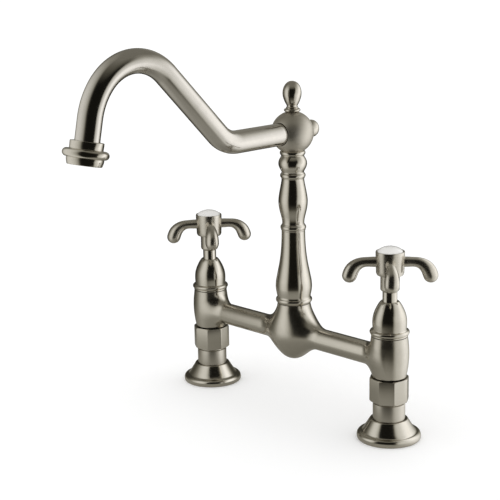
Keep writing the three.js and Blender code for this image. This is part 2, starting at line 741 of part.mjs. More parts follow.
function finial() {
  const base = FINIAL_SEAT_Z + SEAT_GAP;
  const eggZ = base + FINIAL_COLLAR_H + FINIAL_NECK_H;
  const egg = smooth([
    at(FINIAL_NECK_R, eggZ - FINIAL_NECK_H / 2),
    at(FINIAL_NECK_R + 1.3, eggZ + 1),
    at(FINIAL_EGG_R - 0.5, eggZ + FINIAL_EGG_H * 0.3),
    at(FINIAL_EGG_R, eggZ + FINIAL_EGG_H * 0.48),
    at(FINIAL_EGG_R - 1.4, eggZ + FINIAL_EGG_H * 0.76),
    at(FINIAL_EGG_R - 4.2, eggZ + FINIAL_EGG_H * 0.96),
    at(0, eggZ + FINIAL_EGG_H),
  ], 9);
  return turned([
    at(0, base - FINIAL_STUD_L),
    at(FINIAL_STUD_R, base - FINIAL_STUD_L),
    at(FINIAL_STUD_R, base),
    ...bead(FINIAL_NECK_R + 0.6, FINIAL_COLLAR_R, base, base + FINIAL_COLLAR_H, 4),
    ...egg,
  ], MEDIUM);
}

function rearPlug() {
  const base = PLUG_SEAT_Y + SEAT_GAP;
  return backwards(turned([
    at(0, base - PLUG_SHANK_L),
    at(PLUG_SHANK_R, base - PLUG_SHANK_L),
    at(PLUG_SHANK_R, base),
    at(PLUG_R - 0.8, base),
    at(PLUG_R - 0.4, base + 2),
    at(PLUG_R, base + 3.4),
    at(PLUG_R, base + PLUG_H - PLUG_DOME),
    at(PLUG_R * 0.86, base + PLUG_H - PLUG_DOME * 0.45),
    at(PLUG_R * 0.5, base + PLUG_H - PLUG_DOME * 0.1),
    at(0, base + PLUG_H),
  ], MEDIUM)).translate(0, 0, BALL_Z + PLUG_UP);
}

// ---------------------------------------------------------------- spout tube

// The spout's centre line lies in the plane x = 0. A place on it is given by its distance from the
// column and its height.
const away = (distance, z) => new THREE.Vector3(0, -distance, z);

// A circular bend, from one heading to another in degrees above level
class Bend extends THREE.Curve {
  constructor(centreDistance, centreZ, radius, fromHeading, toHeading) {
    super();
    Object.assign(this, { centreDistance, centreZ, radius, fromHeading, toHeading });
  }

  getPoint(t, target = new THREE.Vector3()) {
    const heading = radians(this.fromHeading + (this.toHeading - this.fromHeading) * t);
    const turnSide = Math.sign(this.fromHeading - this.toHeading);
    const distance = this.centreDistance - turnSide * this.radius * Math.sin(heading);
    return target.copy(away(distance, this.centreZ + turnSide * this.radius * Math.cos(heading)));
  }
}

const DIAGONAL = 45;
const OUTLET_HEADING = -(90 - SPOUT_TILT);
const rise = new Bend(
  SPOUT_RISE_CORNER - SPOUT_RISE_BEND * Math.tan(radians(DIAGONAL / 2)), BALL_Z + SPOUT_RISE_BEND,
  SPOUT_RISE_BEND, 0, DIAGONAL,
);
const crownZ = BALL_Z + (SPOUT_CROWN_REACH - SPOUT_RISE_CORNER) * Math.tan(radians(DIAGONAL))
  - SPOUT_CROWN_BEND / Math.cos(radians(DIAGONAL));
const crown = new Bend(SPOUT_CROWN_REACH, crownZ, SPOUT_CROWN_BEND, DIAGONAL, -SPOUT_CROWN_END);
const bendStep = SPOUT_LEG_BEND - SPOUT_CROWN_BEND;
const leg = new Bend(
  SPOUT_CROWN_REACH - bendStep * Math.sin(radians(SPOUT_CROWN_END)),
  crownZ - bendStep * Math.cos(radians(SPOUT_CROWN_END)),
  SPOUT_LEG_BEND, -SPOUT_CROWN_END, OUTLET_HEADING,
);
const outletDirection = away(Math.cos(radians(OUTLET_HEADING)), Math.sin(radians(OUTLET_HEADING)));
const legEnd = leg.getPoint(1);
const tubeEnd = legEnd.clone().addScaledVector(outletDirection, SPOUT_LEG_L);

function spoutTube() {
  const path = new THREE.CurvePath();
  path.add(new THREE.LineCurve3(away(TUBE_START, BALL_Z), rise.getPoint(0)));
  path.add(rise);
  path.add(new THREE.LineCurve3(rise.getPoint(1), crown.getPoint(0)));
  path.add(crown);
  path.add(leg);
  path.add(new THREE.LineCurve3(legEnd, tubeEnd));
  const section = new THREE.Shape(circle(TUBE_R, MEDIUM));
  section.holes.push(new THREE.Path(circle(TUBE_R - TUBE_WALL, COARSE)));
  return new THREE.ExtrudeGeometry(section, { steps: 32, extrudePath: path });
}

// ---------------------------------------------------------------- outlet

const OUTLET_SOCKET_DEPTH = 6;
const OUTLET_H = OUTLET_COLLAR_H + OUTLET_GROOVE_H + OUTLET_BEAD_H + OUTLET_LIP_H;

// Pieces at the outlet are turned with z = 0 at the end of the tube, pointing up the tube, and then
// tilted and moved there
function atOutlet(geometry) {
  return geometry.rotateX(radians(-SPOUT_TILT)).translate(tubeEnd.x, tubeEnd.y, tubeEnd.z);
}

const outletTop = OUTLET_SOCKET_DEPTH;
const outletFoot = outletTop - OUTLET_H;
const aeratorLow = outletFoot + 0.8;
const aeratorHigh = aeratorLow + AERATOR_H;
const aeratorWasherLow = aeratorHigh + SEAT_GAP;
const shoulderZ = aeratorWasherLow + AERATOR_WASHER_T + SEAT_GAP;

function outletHousing() {
  const beadHigh = outletTop - OUTLET_COLLAR_H - OUTLET_GROOVE_H;
  const beadLow = beadHigh - OUTLET_BEAD_H;
  return atOutlet(turned([
    at(AERATOR_R + SEAT_GAP, outletFoot),
    at(OUTLET_MOUTH_R, outletFoot),
    at(OUTLET_LIP_R, beadLow),
    ...bead(OUTLET_LIP_R + 0.4, OUTLET_BEAD_R, beadLow, beadHigh, 5),
    at(OUTLET_GROOVE_R, beadHigh),
    at(OUTLET_GROOVE_R, beadHigh + OUTLET_GROOVE_H),
    ...bead(OUTLET_GROOVE_R + 0.4, OUTLET_COLLAR_R, beadHigh + OUTLET_GROOVE_H, outletTop, 3),
    at(TUBE_R + SEAT_GAP, outletTop),
    at(TUBE_R + SEAT_GAP, -SEAT_GAP),
    at(TUBE_R - TUBE_WALL, -SEAT_GAP),
    at(TUBE_R - TUBE_WALL, shoulderZ),
    at(AERATOR_R + SEAT_GAP, shoulderZ),
  ], WIDE));
}

function aeratorInsert() {
  const holes = [rod(AERATOR_HOLE_R, aeratorLow - 1, aeratorHigh + 1, 6)];
  for (let i = 0; i < AERATOR_HOLES; i += 1) {
    holes.push(rod(AERATOR_HOLE_R, aeratorLow - 1, aeratorHigh + 1, 6)
      .translate(AERATOR_R * 0.6, 0, 0).rotateZ((2 * Math.PI * i) / AERATOR_HOLES));
  }
  return atOutlet(carved(rod(AERATOR_R, aeratorLow, aeratorHigh), { cut: holes }));
}

function aeratorWasher() {
  const high = aeratorWasherLow + AERATOR_WASHER_T;
  return atOutlet(ring(TUBE_R - TUBE_WALL - 1, AERATOR_R, aeratorWasherLow, high));
}

// ---------------------------------------------------------------- cartridge

const SEAL_Z = SEAT_Z + SEAT_GAP;
const FIXED_DISC_Z = SEAL_Z + SEAT_SEAL_T + SEAT_GAP;
const MOVING_DISC_Z = FIXED_DISC_Z + DISC_T + SEAT_GAP;
const SPINDLE_Z = MOVING_DISC_Z + DISC_T + SEAT_GAP;
const CAGE_FLOOR_Z = SPINDLE_Z + SPINDLE_FOOT_T + RUNNING_GAP;
const DISC_R = CAGE_R - CAGE_WALL - RUNNING_GAP;
const CARTRIDGE_TOP_Z = BODY_TOP_Z + CARTRIDGE_TOP_UP;
const STEM_O_RING_Z = BODY_TOP_Z + STEM_O_RING_UP;
const SPINDLE_BORE_R = SPINDLE_R + RUNNING_GAP;
const STEM_O_RING_R = SPINDLE_BORE_R + O_RING_SECTION_R + 0.1;

// Cage round the discs, threaded barrel in the chamber, hexagon on top of the body, and neck
function cartridgeBody() {
  const barrelR = CHAMBER_R - SEAT_GAP;
  const hexLow = BODY_TOP_Z + SEAT_GAP;
  const hexHigh = hexLow + CARTRIDGE_HEX_H;
  const cageLow = SEAT_Z + SEAT_GAP;
  const grooveR = STEM_O_RING_R + O_RING_SECTION_R + SEAT_GAP;
  const body = turned([
    at(CAGE_R - CAGE_WALL, cageLow),
    at(CAGE_R, cageLow),
    at(CAGE_R, CAGE_FLOOR_Z + 3),
    at(barrelR, CAGE_FLOOR_Z + 4),
    at(barrelR, hexHigh),
    at(CARTRIDGE_NECK_R, hexHigh),
    at(CARTRIDGE_NECK_R, CARTRIDGE_TOP_Z),
    at(SPINDLE_BORE_R, CARTRIDGE_TOP_Z),
    at(SPINDLE_BORE_R, STEM_O_RING_Z + O_RING_GROOVE_W / 2),
    at(grooveR, STEM_O_RING_Z + O_RING_GROOVE_W / 2),
    at(grooveR, STEM_O_RING_Z - O_RING_GROOVE_W / 2),
    at(SPINDLE_BORE_R, STEM_O_RING_Z - O_RING_GROOVE_W / 2),
    at(SPINDLE_BORE_R, CAGE_FLOOR_Z),
    at(CAGE_R - CAGE_WALL, CAGE_FLOOR_Z),
  ], FINE);
  const hexagon = carved(prism(polygon(6, CARTRIDGE_HEX_FLATS), hexLow, hexHigh), {
    cut: [rod(barrelR - 1, hexLow - 1, hexHigh + 1)],
  });
  const windows = [];
  for (let i = 0; i < CAGE_WINDOWS; i += 1) {
    windows.push(new THREE.BoxGeometry(CAGE_R, CAGE_WINDOW_W, CAGE_WINDOW_H)
      .translate(CAGE_R, 0, CAGE_FLOOR_Z - CAGE_WINDOW_H / 2).rotateZ((2 * Math.PI * i) / CAGE_WINDOWS));
  }
  return carved(body, { add: [hexagon], cut: windows });
}

// Two ports opposite each other, each a sector round the disc's middle
function discPorts(low, high) {
  const ports = [];
  for (const middle of [0, Math.PI]) {
    const half = radians(DISC_PORT_ANGLE / 2);
    const port = new THREE.Shape();
    port.absarc(0, 0, DISC_PORT_REACH, middle - half, middle + half);
    port.absarc(0, 0, DISC_PORT_REACH * 0.35, middle + half, middle - half, true);
    ports.push(prism(port, low - 1, high + 1));
  }
  return ports;
}

function fixedDisc() {
  const high = FIXED_DISC_Z + DISC_T;
  return carved(rod(DISC_R, FIXED_DISC_Z, high), { cut: discPorts(FIXED_DISC_Z, high) });
}

// Closed at rest: its ports stand a quarter turn from the fixed disc's. The spindle's tongue drives it.
function movingDisc() {
  const high = MOVING_DISC_Z + DISC_T;
  const slot = new THREE.BoxGeometry(TONGUE_L + 2 * RUNNING_GAP, TONGUE_W + 2 * RUNNING_GAP, 2 * TONGUE_DEPTH)
    .translate(0, 0, high);
  const ports = discPorts(MOVING_DISC_Z, high).map((port) => port.rotateZ(Math.PI / 2));
  return carved(rod(DISC_R, MOVING_DISC_Z, high), { cut: [slot, ...ports] });
}

function seatSeal() {
  return ring(SEAT_PORT_R, DISC_R, SEAL_Z, SEAL_Z + SEAT_SEAL_T, MEDIUM);
}

const SPINDLE_ROUND_Z = HANDLE_Z + SPINDLE_ROUND_UP;
const SPINDLE_TOP_Z = SPINDLE_ROUND_Z + SPINDLE_BROACH_L;

function broach(acrossFlats, cornerR, low, high) {
  const square = prism(polygon(4, acrossFlats), low, high).rotateZ(Math.PI / 4);
  return surface(solid(square).intersect(solid(rod(cornerR, low - 1, high + 1))));
}

function spindle() {
  const footZ = SPINDLE_Z;
  const shaft = rod(SPINDLE_R, footZ, SPINDLE_ROUND_Z, MEDIUM);
  const foot = rod(DISC_R, footZ, footZ + SPINDLE_FOOT_T);
  const sides = [-1, 1].map((side) => new THREE.BoxGeometry(DISC_R * 3, DISC_R, SPINDLE_FOOT_T * 3)
    .translate(0, side * (SPINDLE_R + DISC_R / 2), footZ));
  const wings = carved(foot, { cut: sides });
  const tongueDepth = TONGUE_DEPTH - SEAT_GAP;
  const tongue = new THREE.BoxGeometry(TONGUE_L, TONGUE_W, tongueDepth + SEAT_GAP + 0.5)
    .translate(0, 0, footZ - (tongueDepth + SEAT_GAP) / 2 + 0.25);
  const square = broach(SPINDLE_BROACH_FLATS, SPINDLE_R, HANDLE_Z, SPINDLE_TOP_Z);
  const screwHole = rod(SCREW_R + SEAT_GAP, SPINDLE_TOP_Z - SCREW_L, SPINDLE_TOP_Z + 1, COARSE);
  return carved(shaft, { add: [wings, tongue, square], cut: [screwHole] });
}

function stemORing() {
  return oRing(STEM_O_RING_R, STEM_O_RING_Z);
}

// ---------------------------------------------------------------- bonnet and sleeve

// A domed shell: a bead at the foot, a shoulder, and a dome closing on the stem sleeve
function bonnet() {
  const ringTop = BONNET_Z + BONNET_RING_H;
  const holeR = SLEEVE_R + SEAT_GAP;
  const dome = (offset, steps) => smooth([
    at(BONNET_WAIST_R - offset, ringTop),
    at(BONNET_SHOULDER_R - offset, BONNET_Z + BONNET_SHOULDER_UP),
    at(BONNET_SHOULDER_R - 0.8 - offset, BONNET_Z + BONNET_H * 0.58),
    at(BONNET_SHOULDER_R - 2.9 - offset, BONNET_Z + BONNET_H * 0.79),
    at(BONNET_TOP_R - offset * 0.5, BONNET_TOP_Z - offset * 0.8),
  ], steps);
  return turned([
    at(BONNET_WAIST_R - BONNET_WALL, BONNET_Z),
    at(BONNET_RING_R - 1.2, BONNET_Z),
    ...bead(BONNET_RING_R - 1.2, BONNET_RING_R, BONNET_Z, ringTop, 4).slice(1),
    ...dome(0, 6),
    at(holeR, BONNET_TOP_Z),
    at(holeR, BONNET_TOP_Z - BONNET_WALL),
    ...dome(BONNET_WALL, 3).reverse(),
  ], FINE);
}

function stemSleeve() {
  const low = CARTRIDGE_TOP_Z + SEAT_GAP;
  return turned([
    at(SPINDLE_BORE_R, low),
    at(SLEEVE_FOOT_R, low),
    at(SLEEVE_FOOT_R, low + SLEEVE_FOOT_T),
    at(SLEEVE_R, low + SLEEVE_FOOT_T),
    at(SLEEVE_R, HANDLE_Z - RUNNING_GAP),
    at(SPINDLE_BORE_R, HANDLE_Z - RUNNING_GAP),
  ], MEDIUM);
}

// ---------------------------------------------------------------- cross handle

const HANDLE_CUP_Z = HANDLE_Z + HUB_SLEEVE_H;
const HANDLE_TOP_Z = HANDLE_CUP_Z + HANDLE_CUP_H;
const HANDLE_FLOOR_Z = SPINDLE_TOP_Z + SEAT_GAP;
const BUTTON_SEAT_Z = HANDLE_TOP_Z - BUTTON_SEAT_DEPTH;

// One arm: straight out of the hub, then curving down to a bulb like a paw
function handleArm() {
  const rootZ = HANDLE_Z + PAW_ROOT_UP;
  const bulbReach = PAW_REACH - PAW_BULB_R;
  const line = new THREE.SplineCurve([
    at(HANDLE_RECESS_R + PAW_ROOT_R * 0.2, rootZ),
    at(PAW_STRAIGHT * 0.9, rootZ),
    at(PAW_STRAIGHT * 1.28, rootZ - PAW_DROP * 0.16),
    at(bulbReach - PAW_BULB_R * 0.3, rootZ - PAW_DROP * 0.56),
    at(bulbReach, rootZ - PAW_DROP),
    at(bulbReach, rootZ - PAW_DROP - PAW_BULB_R),
  ]);
  const steps = 8;
  const sides = 8;
  const rings = [];
  for (let i = 0; i <= steps; i += 1) {
    const t = i / steps;
    const middle = line.getPointAt(t);
    const heading = line.getTangentAt(t);
    const toBulb = Math.max(0, Math.min(1, (t - 0.35) / 0.4));
    const swell = PAW_ROOT_R + (PAW_WRIST_R - PAW_ROOT_R) * Math.min(1, t * 3)
      + (PAW_BULB_R - PAW_WRIST_R) * toBulb;
    const fromTip = line.getLength() * (1 - t);
    const cap = fromTip < PAW_BULB_R ? Math.sqrt(1 - (1 - fromTip / PAW_BULB_R) ** 2) : 1;
    const radius = swell * Math.max(cap, 0.15);
    const points = [];
    for (let j = 0; j < sides; j += 1) {
      const angle = (2 * Math.PI * j) / sides;
      points.push(new THREE.Vector3(
        middle.x - heading.y * radius * Math.sin(angle),
        radius * Math.cos(angle),
        middle.y + heading.x * radius * Math.sin(angle),
      ));
    }
    rings.push(points);
  }
  return loft(rings);
}

function handle(turn) {
  const hub = turned([
    at(0, HANDLE_Z),
    at(HUB_SLEEVE_R - HANDLE_FOOT_CHAMFER, HANDLE_Z),
    at(HUB_SLEEVE_R, HANDLE_Z + HANDLE_FOOT_CHAMFER),
    at(HUB_SLEEVE_R, HANDLE_CUP_Z),
    at(HANDLE_CUP_FOOT_R - HANDLE_CUP_CHAMFER, HANDLE_CUP_Z),
    at(HANDLE_CUP_FOOT_R, HANDLE_CUP_Z + HANDLE_CUP_CHAMFER),
    at(HANDLE_CUP_R, HANDLE_TOP_Z),
    at(0, HANDLE_TOP_Z),
  ], FINE);
  const arms = [];
  for (let i = 0; i < HANDLE_ARMS; i += 1) {
    const azimuth = radians(turn - 90) + (2 * Math.PI * i) / HANDLE_ARMS;
    arms.push(handleArm().rotateZ(azimuth));
  }
  const shaftHole = rod(SPINDLE_R + SEAT_GAP, HANDLE_Z - 1, SPINDLE_ROUND_Z + SEAT_GAP, MEDIUM);
  const socket = broach(SPINDLE_BROACH_FLATS + 2 * SEAT_GAP, SPINDLE_R + SEAT_GAP, HANDLE_Z, HANDLE_FLOOR_Z);
  const screwHole = rod(SCREW_R + SEAT_GAP, HANDLE_FLOOR_Z - 1, HANDLE_TOP_Z, COARSE);
  const recess = rod(HANDLE_RECESS_R, HANDLE_FLOOR_Z + HANDLE_FLOOR_T, HANDLE_TOP_Z + 1, MEDIUM);
  const buttonSeat = rod(BUTTON_R + SEAT_GAP, BUTTON_SEAT_Z, HANDLE_TOP_Z + 1, FINE);
  return carved(hub, { add: arms, cut: [shaftHole, socket, screwHole, recess, buttonSeat] });
}

function handleScrew() {
  const headZ = HANDLE_FLOOR_Z + HANDLE_FLOOR_T + SEAT_GAP;
  const screw = turned([
    at(0, SPINDLE_TOP_Z - SCREW_L + 2),
    at(SCREW_R, SPINDLE_TOP_Z - SCREW_L + 2),
    at(SCREW_R, headZ),
    at(SCREW_HEAD_R, headZ),
    at(SCREW_HEAD_R, headZ + SCREW_HEAD_T - 0.7),
    at(SCREW_HEAD_R - 1, headZ + SCREW_HEAD_T),
    at(0, headZ + SCREW_HEAD_T),
  ], COARSE);
  const slot = new THREE.BoxGeometry(SCREW_HEAD_R * 3, 0.9, 2.4).translate(0, 0, headZ + SCREW_HEAD_T);
  return carved(screw, { cut: [slot] });
}

function indexButton() {
  const base = BUTTON_SEAT_Z + SEAT_GAP;
  const edge = base + BUTTON_EDGE;
  const domeR = (BUTTON_R ** 2 + BUTTON_DOME ** 2) / (2 * BUTTON_DOME);
  const halfAngle = THREE.MathUtils.radToDeg(Math.asin(BUTTON_R / domeR));
  return turned([
    at(0, base - BUTTON_SPIGOT_L),
    at(BUTTON_SPIGOT_R, base - BUTTON_SPIGOT_L),
    at(BUTTON_SPIGOT_R, base),
    at(BUTTON_R, base),
    ...arc(0, edge + BUTTON_DOME - domeR, domeR, 90 - halfAngle, 90, 3),
  ], FINE);
}

// ---------------------------------------------------------------- assembly

place(faucet, 'bridge_body', bridgeBody(), satinNickel());

for (const [name, side] of [['left', -1], ['right', 1]]) {
  const post = new THREE.Group();
  post.position.x = (side * POST_CENTRES) / 2;
  faucet.add(post);
  place(post, `${name}_deck_flange`, deckFlange(), satinNickel());
  place(post, `${name}_deck_gasket`, deckGasket(), rubber());
  place(post, `${name}_riser`, riser(), satinNickel());
  place(post, `${name}_union_washer`, unionWasher(), rubber());
  place(post, `${name}_snap_ring`, snapRing(), steel());
  place(post, `${name}_coupling_nut`, couplingNut(NUT_TURN[name]), satinNickel());
  place(post, `${name}_seat_seal`, seatSeal(), rubber());
  place(post, `${name}_fixed_disc`, fixedDisc(), ceramic());
  place(post, `${name}_moving_disc`, movingDisc(), ceramic());
  place(post, `${name}_cartridge_body`, cartridgeBody(), brass());
  place(post, `${name}_stem_o_ring`, stemORing(), rubber());
  place(post, `${name}_spindle`, spindle(), brass());
  place(post, `${name}_bonnet`, bonnet(), satinNickel());
  place(post, `${name}_stem_sleeve`, stemSleeve(), satinNickel());
  place(post, `${name}_handle`, handle(HANDLE_TURN[name]), satinNickel());
  place(post, `${name}_handle_screw`, handleScrew(), steel());
  place(post, `${name}_index_button`, indexButton(), porcelain());
}

place(faucet, 'swivel_washer', swivelWasher(), plastic());
place(faucet, 'grub_screw', grubScrew(), steel());
place(faucet, 'spout_column', spoutColumn(), satinNickel());
place(faucet, 'lower_spigot_o_ring', oRing(O_RING_CENTRE_R, SPIGOT_O_RING_Z[0]), rubber());
place(faucet, 'upper_spigot_o_ring', oRing(O_RING_CENTRE_R, SPIGOT_O_RING_Z[1]), rubber());
place(faucet, 'spout_ball', spoutBall(), satinNickel());
place(faucet, 'finial', finial(), satinNickel());
place(faucet, 'rear_plug', rearPlug(), satinNickel());
place(faucet, 'spout_tube', spoutTube(), satinNickel());
place(faucet, 'outlet_housing', outletHousing(), satinNickel());
place(faucet, 'aerator_washer', aeratorWasher(), rubber());
place(faucet, 'aerator_insert', aeratorInsert(), plastic());

export default faucet;
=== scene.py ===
import json
from math import asin, cos, pi, radians, sin, sqrt, tan

import bpy
import numpy as np
from mathutils import Matrix, Vector


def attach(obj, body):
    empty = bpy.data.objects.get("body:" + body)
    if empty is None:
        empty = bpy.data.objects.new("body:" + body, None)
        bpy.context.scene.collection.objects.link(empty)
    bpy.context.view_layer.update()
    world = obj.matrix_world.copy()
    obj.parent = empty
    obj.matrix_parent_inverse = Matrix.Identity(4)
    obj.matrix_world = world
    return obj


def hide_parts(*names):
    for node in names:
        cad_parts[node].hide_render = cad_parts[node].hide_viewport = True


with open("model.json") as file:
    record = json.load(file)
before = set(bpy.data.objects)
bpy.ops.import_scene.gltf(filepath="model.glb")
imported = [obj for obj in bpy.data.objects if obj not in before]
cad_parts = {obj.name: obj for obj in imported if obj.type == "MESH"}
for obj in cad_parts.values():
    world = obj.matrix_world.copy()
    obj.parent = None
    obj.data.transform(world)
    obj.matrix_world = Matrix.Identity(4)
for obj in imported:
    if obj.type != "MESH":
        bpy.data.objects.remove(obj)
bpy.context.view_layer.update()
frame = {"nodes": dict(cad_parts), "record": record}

# ------------------------------------------------------------------------------------------------
# The studio. A long lens looks a little down on the faucet from its right front. The faucet stands
# on a plain white sweep under an even white sky. Its satin metal also sees a small light tent:
# a soft white wall at each side, a dark gap between them, and round its foot a glowing grey disc,
# a painted reflection of the floor with painted shade near the faucet, which only reflections see.

CAMERA_PLACE = Vector((0.7062, -0.7395, 0.3863))
CAMERA_RIGHT = Vector((0.7017, 0.7123, -0.0175)).normalized()
CAMERA_UP = Vector((-0.1579, 0.1794, 0.971))
CAMERA_BACK = CAMERA_RIGHT.cross(CAMERA_UP).normalized()
CAMERA_LENS = 92.66
CAMERA_FILM = 36
FLOOR_SIZE = 50
FLOOR_Z = -0.0002
FLOOR_WHITE = 0.985
FLOOR_LIFT = 0.06
SKY_LIGHT = 1.04


def deselect_all():
    if bpy.context.mode != "OBJECT":
        bpy.ops.object.mode_set(mode="OBJECT")
    bpy.ops.object.select_all(action="DESELECT")


deselect_all()
turned_to = Matrix((CAMERA_RIGHT, CAMERA_BACK.cross(CAMERA_RIGHT), CAMERA_BACK)).transposed()
bpy.ops.object.camera_add(location=CAMERA_PLACE, rotation=turned_to.to_euler())
camera = bpy.context.object
camera.name = "camera"
camera.data.lens = CAMERA_LENS
camera.data.sensor_width = CAMERA_FILM
camera.data.clip_end = 60
bpy.context.scene.camera = camera
bpy.context.scene.view_settings.view_transform = "Standard"


def new_material(name):
    """Starts a material, and gives back its tree of nodes with it."""
    material = bpy.data.materials.new(name)
    material.use_nodes = True
    return material, material.node_tree


def add_node(tree, kind, label, **settings):
    node = tree.nodes.new(kind)
    node.name = node.label = label
    for key, value in settings.items():
        setattr(node, key, value)
    return node


def add_math(tree, label, operation, *numbers, clamp=False):
    """A step of arithmetic. Its numbers go to the inputs after the first, which is left to a wire."""
    node = add_node(tree, "ShaderNodeMath", label, operation=operation, use_clamp=clamp)
    for entry, number in enumerate(numbers, start=1):
        node.inputs[entry].default_value = number
    return node


def wire(tree, source, socket, target, entry):
    tree.links.new(source.outputs[socket], target.inputs[entry])


deselect_all()
bpy.ops.mesh.primitive_plane_add(size=FLOOR_SIZE, location=(0, 0, FLOOR_Z))
floor = bpy.context.object
floor.name = "floor"
floor.visible_glossy = False
white_sweep, tree = new_material("white_sweep")
shader = tree.nodes["Principled BSDF"]
shader.inputs["Base Color"].default_value = (FLOOR_WHITE, FLOOR_WHITE, FLOOR_WHITE, 1)
shader.inputs["Roughness"].default_value = 1
shader.inputs["Specular IOR Level"].default_value = 0
shader.inputs["Emission Color"].default_value = (1, 1, 1, 1)
ray = add_node(tree, "ShaderNodeLightPath", "ray")
either = add_math(tree, "seen or mirrored", "ADD", clamp=True)
any_way = add_math(tree, "or seen through glass", "ADD", clamp=True)
lift = add_math(tree, "lift to white", "MULTIPLY", FLOOR_LIFT)
wire(tree, ray, "Is Camera Ray", either, 0)
wire(tree, ray, "Is Glossy Ray", either, 1)
wire(tree, either, 0, any_way, 0)
wire(tree, ray, "Is Transmission Ray", any_way, 1)
wire(tree, any_way, 0, lift, 0)
wire(tree, lift, 0, shader, "Emission Strength")
floor.data.materials.append(white_sweep)

white_sky = bpy.data.worlds.new("white_sky")
bpy.context.scene.world = white_sky
white_sky.use_nodes = True
sky = white_sky.node_tree.nodes["Background"]
sky.inputs["Color"].default_value = (1, 1, 1, 1)
sky.inputs["Strength"].default_value = SKY_LIGHT


def add_range(tree, label, low, high, to_low=0, to_high=1):
    """Stretches what lies from low to high over another range, and stops at its ends."""
    node = add_node(tree, "ShaderNodeMapRange", label)
    for entry, number in zip(("From Min", "From Max", "To Min", "To Max"), (low, high, to_low, to_high)):
        node.inputs[entry].default_value = number
    return node


def add_ramp(tree, label, stops):
    """A colour ramp with its stops: places from 0 to 1, and a grey or a colour at each."""
    ramp = add_node(tree, "ShaderNodeValToRGB", label)
    points = ramp.color_ramp.elements
    while len(points) < len(stops):
        points.new(1)
    for point, (place, colour) in zip(points, stops):
        point.position = place
        point.color = (*colour, 1) if isinstance(colour, tuple) else (colour, colour, colour, 1)
    return ramp


def add_mix(tree, label, first, last):
    """Blends from the first colour to the last."""
    node = add_node(tree, "ShaderNodeMix", label, data_type="RGBA")
    node.inputs[6].default_value = (*first, 1)
    node.inputs[7].default_value = (*last, 1)
    return node


def seen_by_polish_only(stage_piece):
    """Leaves a piece of the studio to reflections: it throws no light or shade on anything."""
    stage_piece.visible_camera = False
    stage_piece.visible_diffuse = False
    stage_piece.visible_transmission = False
    stage_piece.visible_volume_scatter = False
    stage_piece.visible_shadow = False


# The studio is set square to the lens. This turn is a plain number, and stays the same in other views.
STUDIO_TURN = -Vector((CAMERA_BACK.x, CAMERA_BACK.y)).angle_signed((0, -1))

# The tent's walls: their brightness by the angle in degrees round from the front to the right, and how
# much of it is left by the angle up. The right wall leans back: its tones lie further round by the
# lean, times their place up and to the right as shares of the tent's radius.
TENT_R = 0.36
TENT_Z = 0.16
TENT_BRIGHTEST = 1.46
TENT_ROUND = [
    (-180, 0.04), (-140, 0.03), (-126, 0.07), (-115, 0.16), (-104, 0.33), (-96, 0.56), (-88, 0.72),
    (-80, 0.83), (-70, 0.87), (-58, 0.82), (-49, 0.65), (-42, 0.38), (-37, 0.04), (-33, 0), (23, 0),
    (27, 0.26), (32, 0.58), (40, 0.78), (50, 0.87), (58, 1.00), (66, 1.20), (76, 1.38), (90, 1.42),
    (100, 1.27), (110, 1.06), (119, 0.74), (128, 0.38), (138, 0.10), (150, 0.04), (180, 0.04),
]
TENT_RIGHT_LEAN = 50
TENT_WALL_REACH = [
    (-62, 0), (-48, 0.32), (-36, 0.64), (-24, 0.83), (-10, 0.97), (2, 1), (28, 1), (38, 0.86),
    (48, 0.52), (58, 0.16), (70, 0),
]
# Its roof and ground by the angle up, and its back, which starts and is full at these shares of its
# radius to the back and up
TENT_ROOF_AND_GROUND = [
    (-90, 0.32), (-60, 0.31), (-46, 0.27), (-36, 0.17), (-26, 0.06), (-16, 0.01), (40, 0.008),
    (50, 0.1), (62, 0.2), (90, 0.21),
]
TENT_BACK = 0.22
TENT_BACK_FROM = (0.35, 0.8)
TENT_BACK_UP = (0.05, 0.45)
# What each grey of it turns to: the dimmer it is, the warmer
TENT_TINTS = [
    (0, 0), (0.07, (0.077, 0.073, 0.059)), (0.21, (0.221, 0.215, 0.190)), (0.45, (0.459, 0.457, 0.432)),
    (0.8, 0.8), (1, 1),
]


def place_in_studio(tree, size=1):
    """Gives the nodes for a place on a stage piece, and for its parts to the right, back and up."""
    place = add_node(tree, "ShaderNodeTexCoord", "place")
    squared = add_node(tree, "ShaderNodeMapping", "square to the studio", vector_type="POINT")
    squared.inputs["Rotation"].default_value = (0, 0, STUDIO_TURN)
    squared.inputs["Scale"].default_value = (1 / size,) * 3
    split = add_node(tree, "ShaderNodeSeparateXYZ", "right, back and up")
    wire(tree, place, "Object", squared, "Vector")
    wire(tree, squared, "Vector", split, 0)
    return place, split


deselect_all()
bpy.ops.mesh.primitive_uv_sphere_add(segments=96, ring_count=48, radius=TENT_R, location=(0, 0, TENT_Z))
tent = bpy.context.object
tent.name = "tent"
bpy.ops.object.mode_set(mode="EDIT")
bpy.ops.mesh.select_all(action="SELECT")
bpy.ops.mesh.flip_normals()
bpy.ops.object.mode_set(mode="OBJECT")
bpy.ops.object.shade_smooth()
tent_cloth, tree = new_material("tent_cloth")
tree.nodes.clear()
_, split = place_in_studio(tree, TENT_R)
front = add_math(tree, "towards the front", "MULTIPLY", -1)
round_angle = add_math(tree, "angle round", "ARCTAN2")
turns = add_math(tree, "turns round", "MULTIPLY_ADD", 0.5 / pi, 0.5)
above = add_math(tree, "above", "MAXIMUM", 0)
right_above = add_math(tree, "above on the right", "MULTIPLY", clamp=True)
leaned = add_math(tree, "right wall leaning back", "MULTIPLY_ADD", -TENT_RIGHT_LEAN / 360)
height_angle = add_math(tree, "angle up", "ARCSINE")
rise = add_math(tree, "rise", "MULTIPLY_ADD", 1 / pi, 0.5)
walls = add_ramp(tree, "walls", [(0.5 + angle / 360, grey / TENT_BRIGHTEST) for angle, grey in TENT_ROUND])
reach = add_ramp(tree, "walls' reach", [(0.5 + angle / 180, grey) for angle, grey in TENT_WALL_REACH])
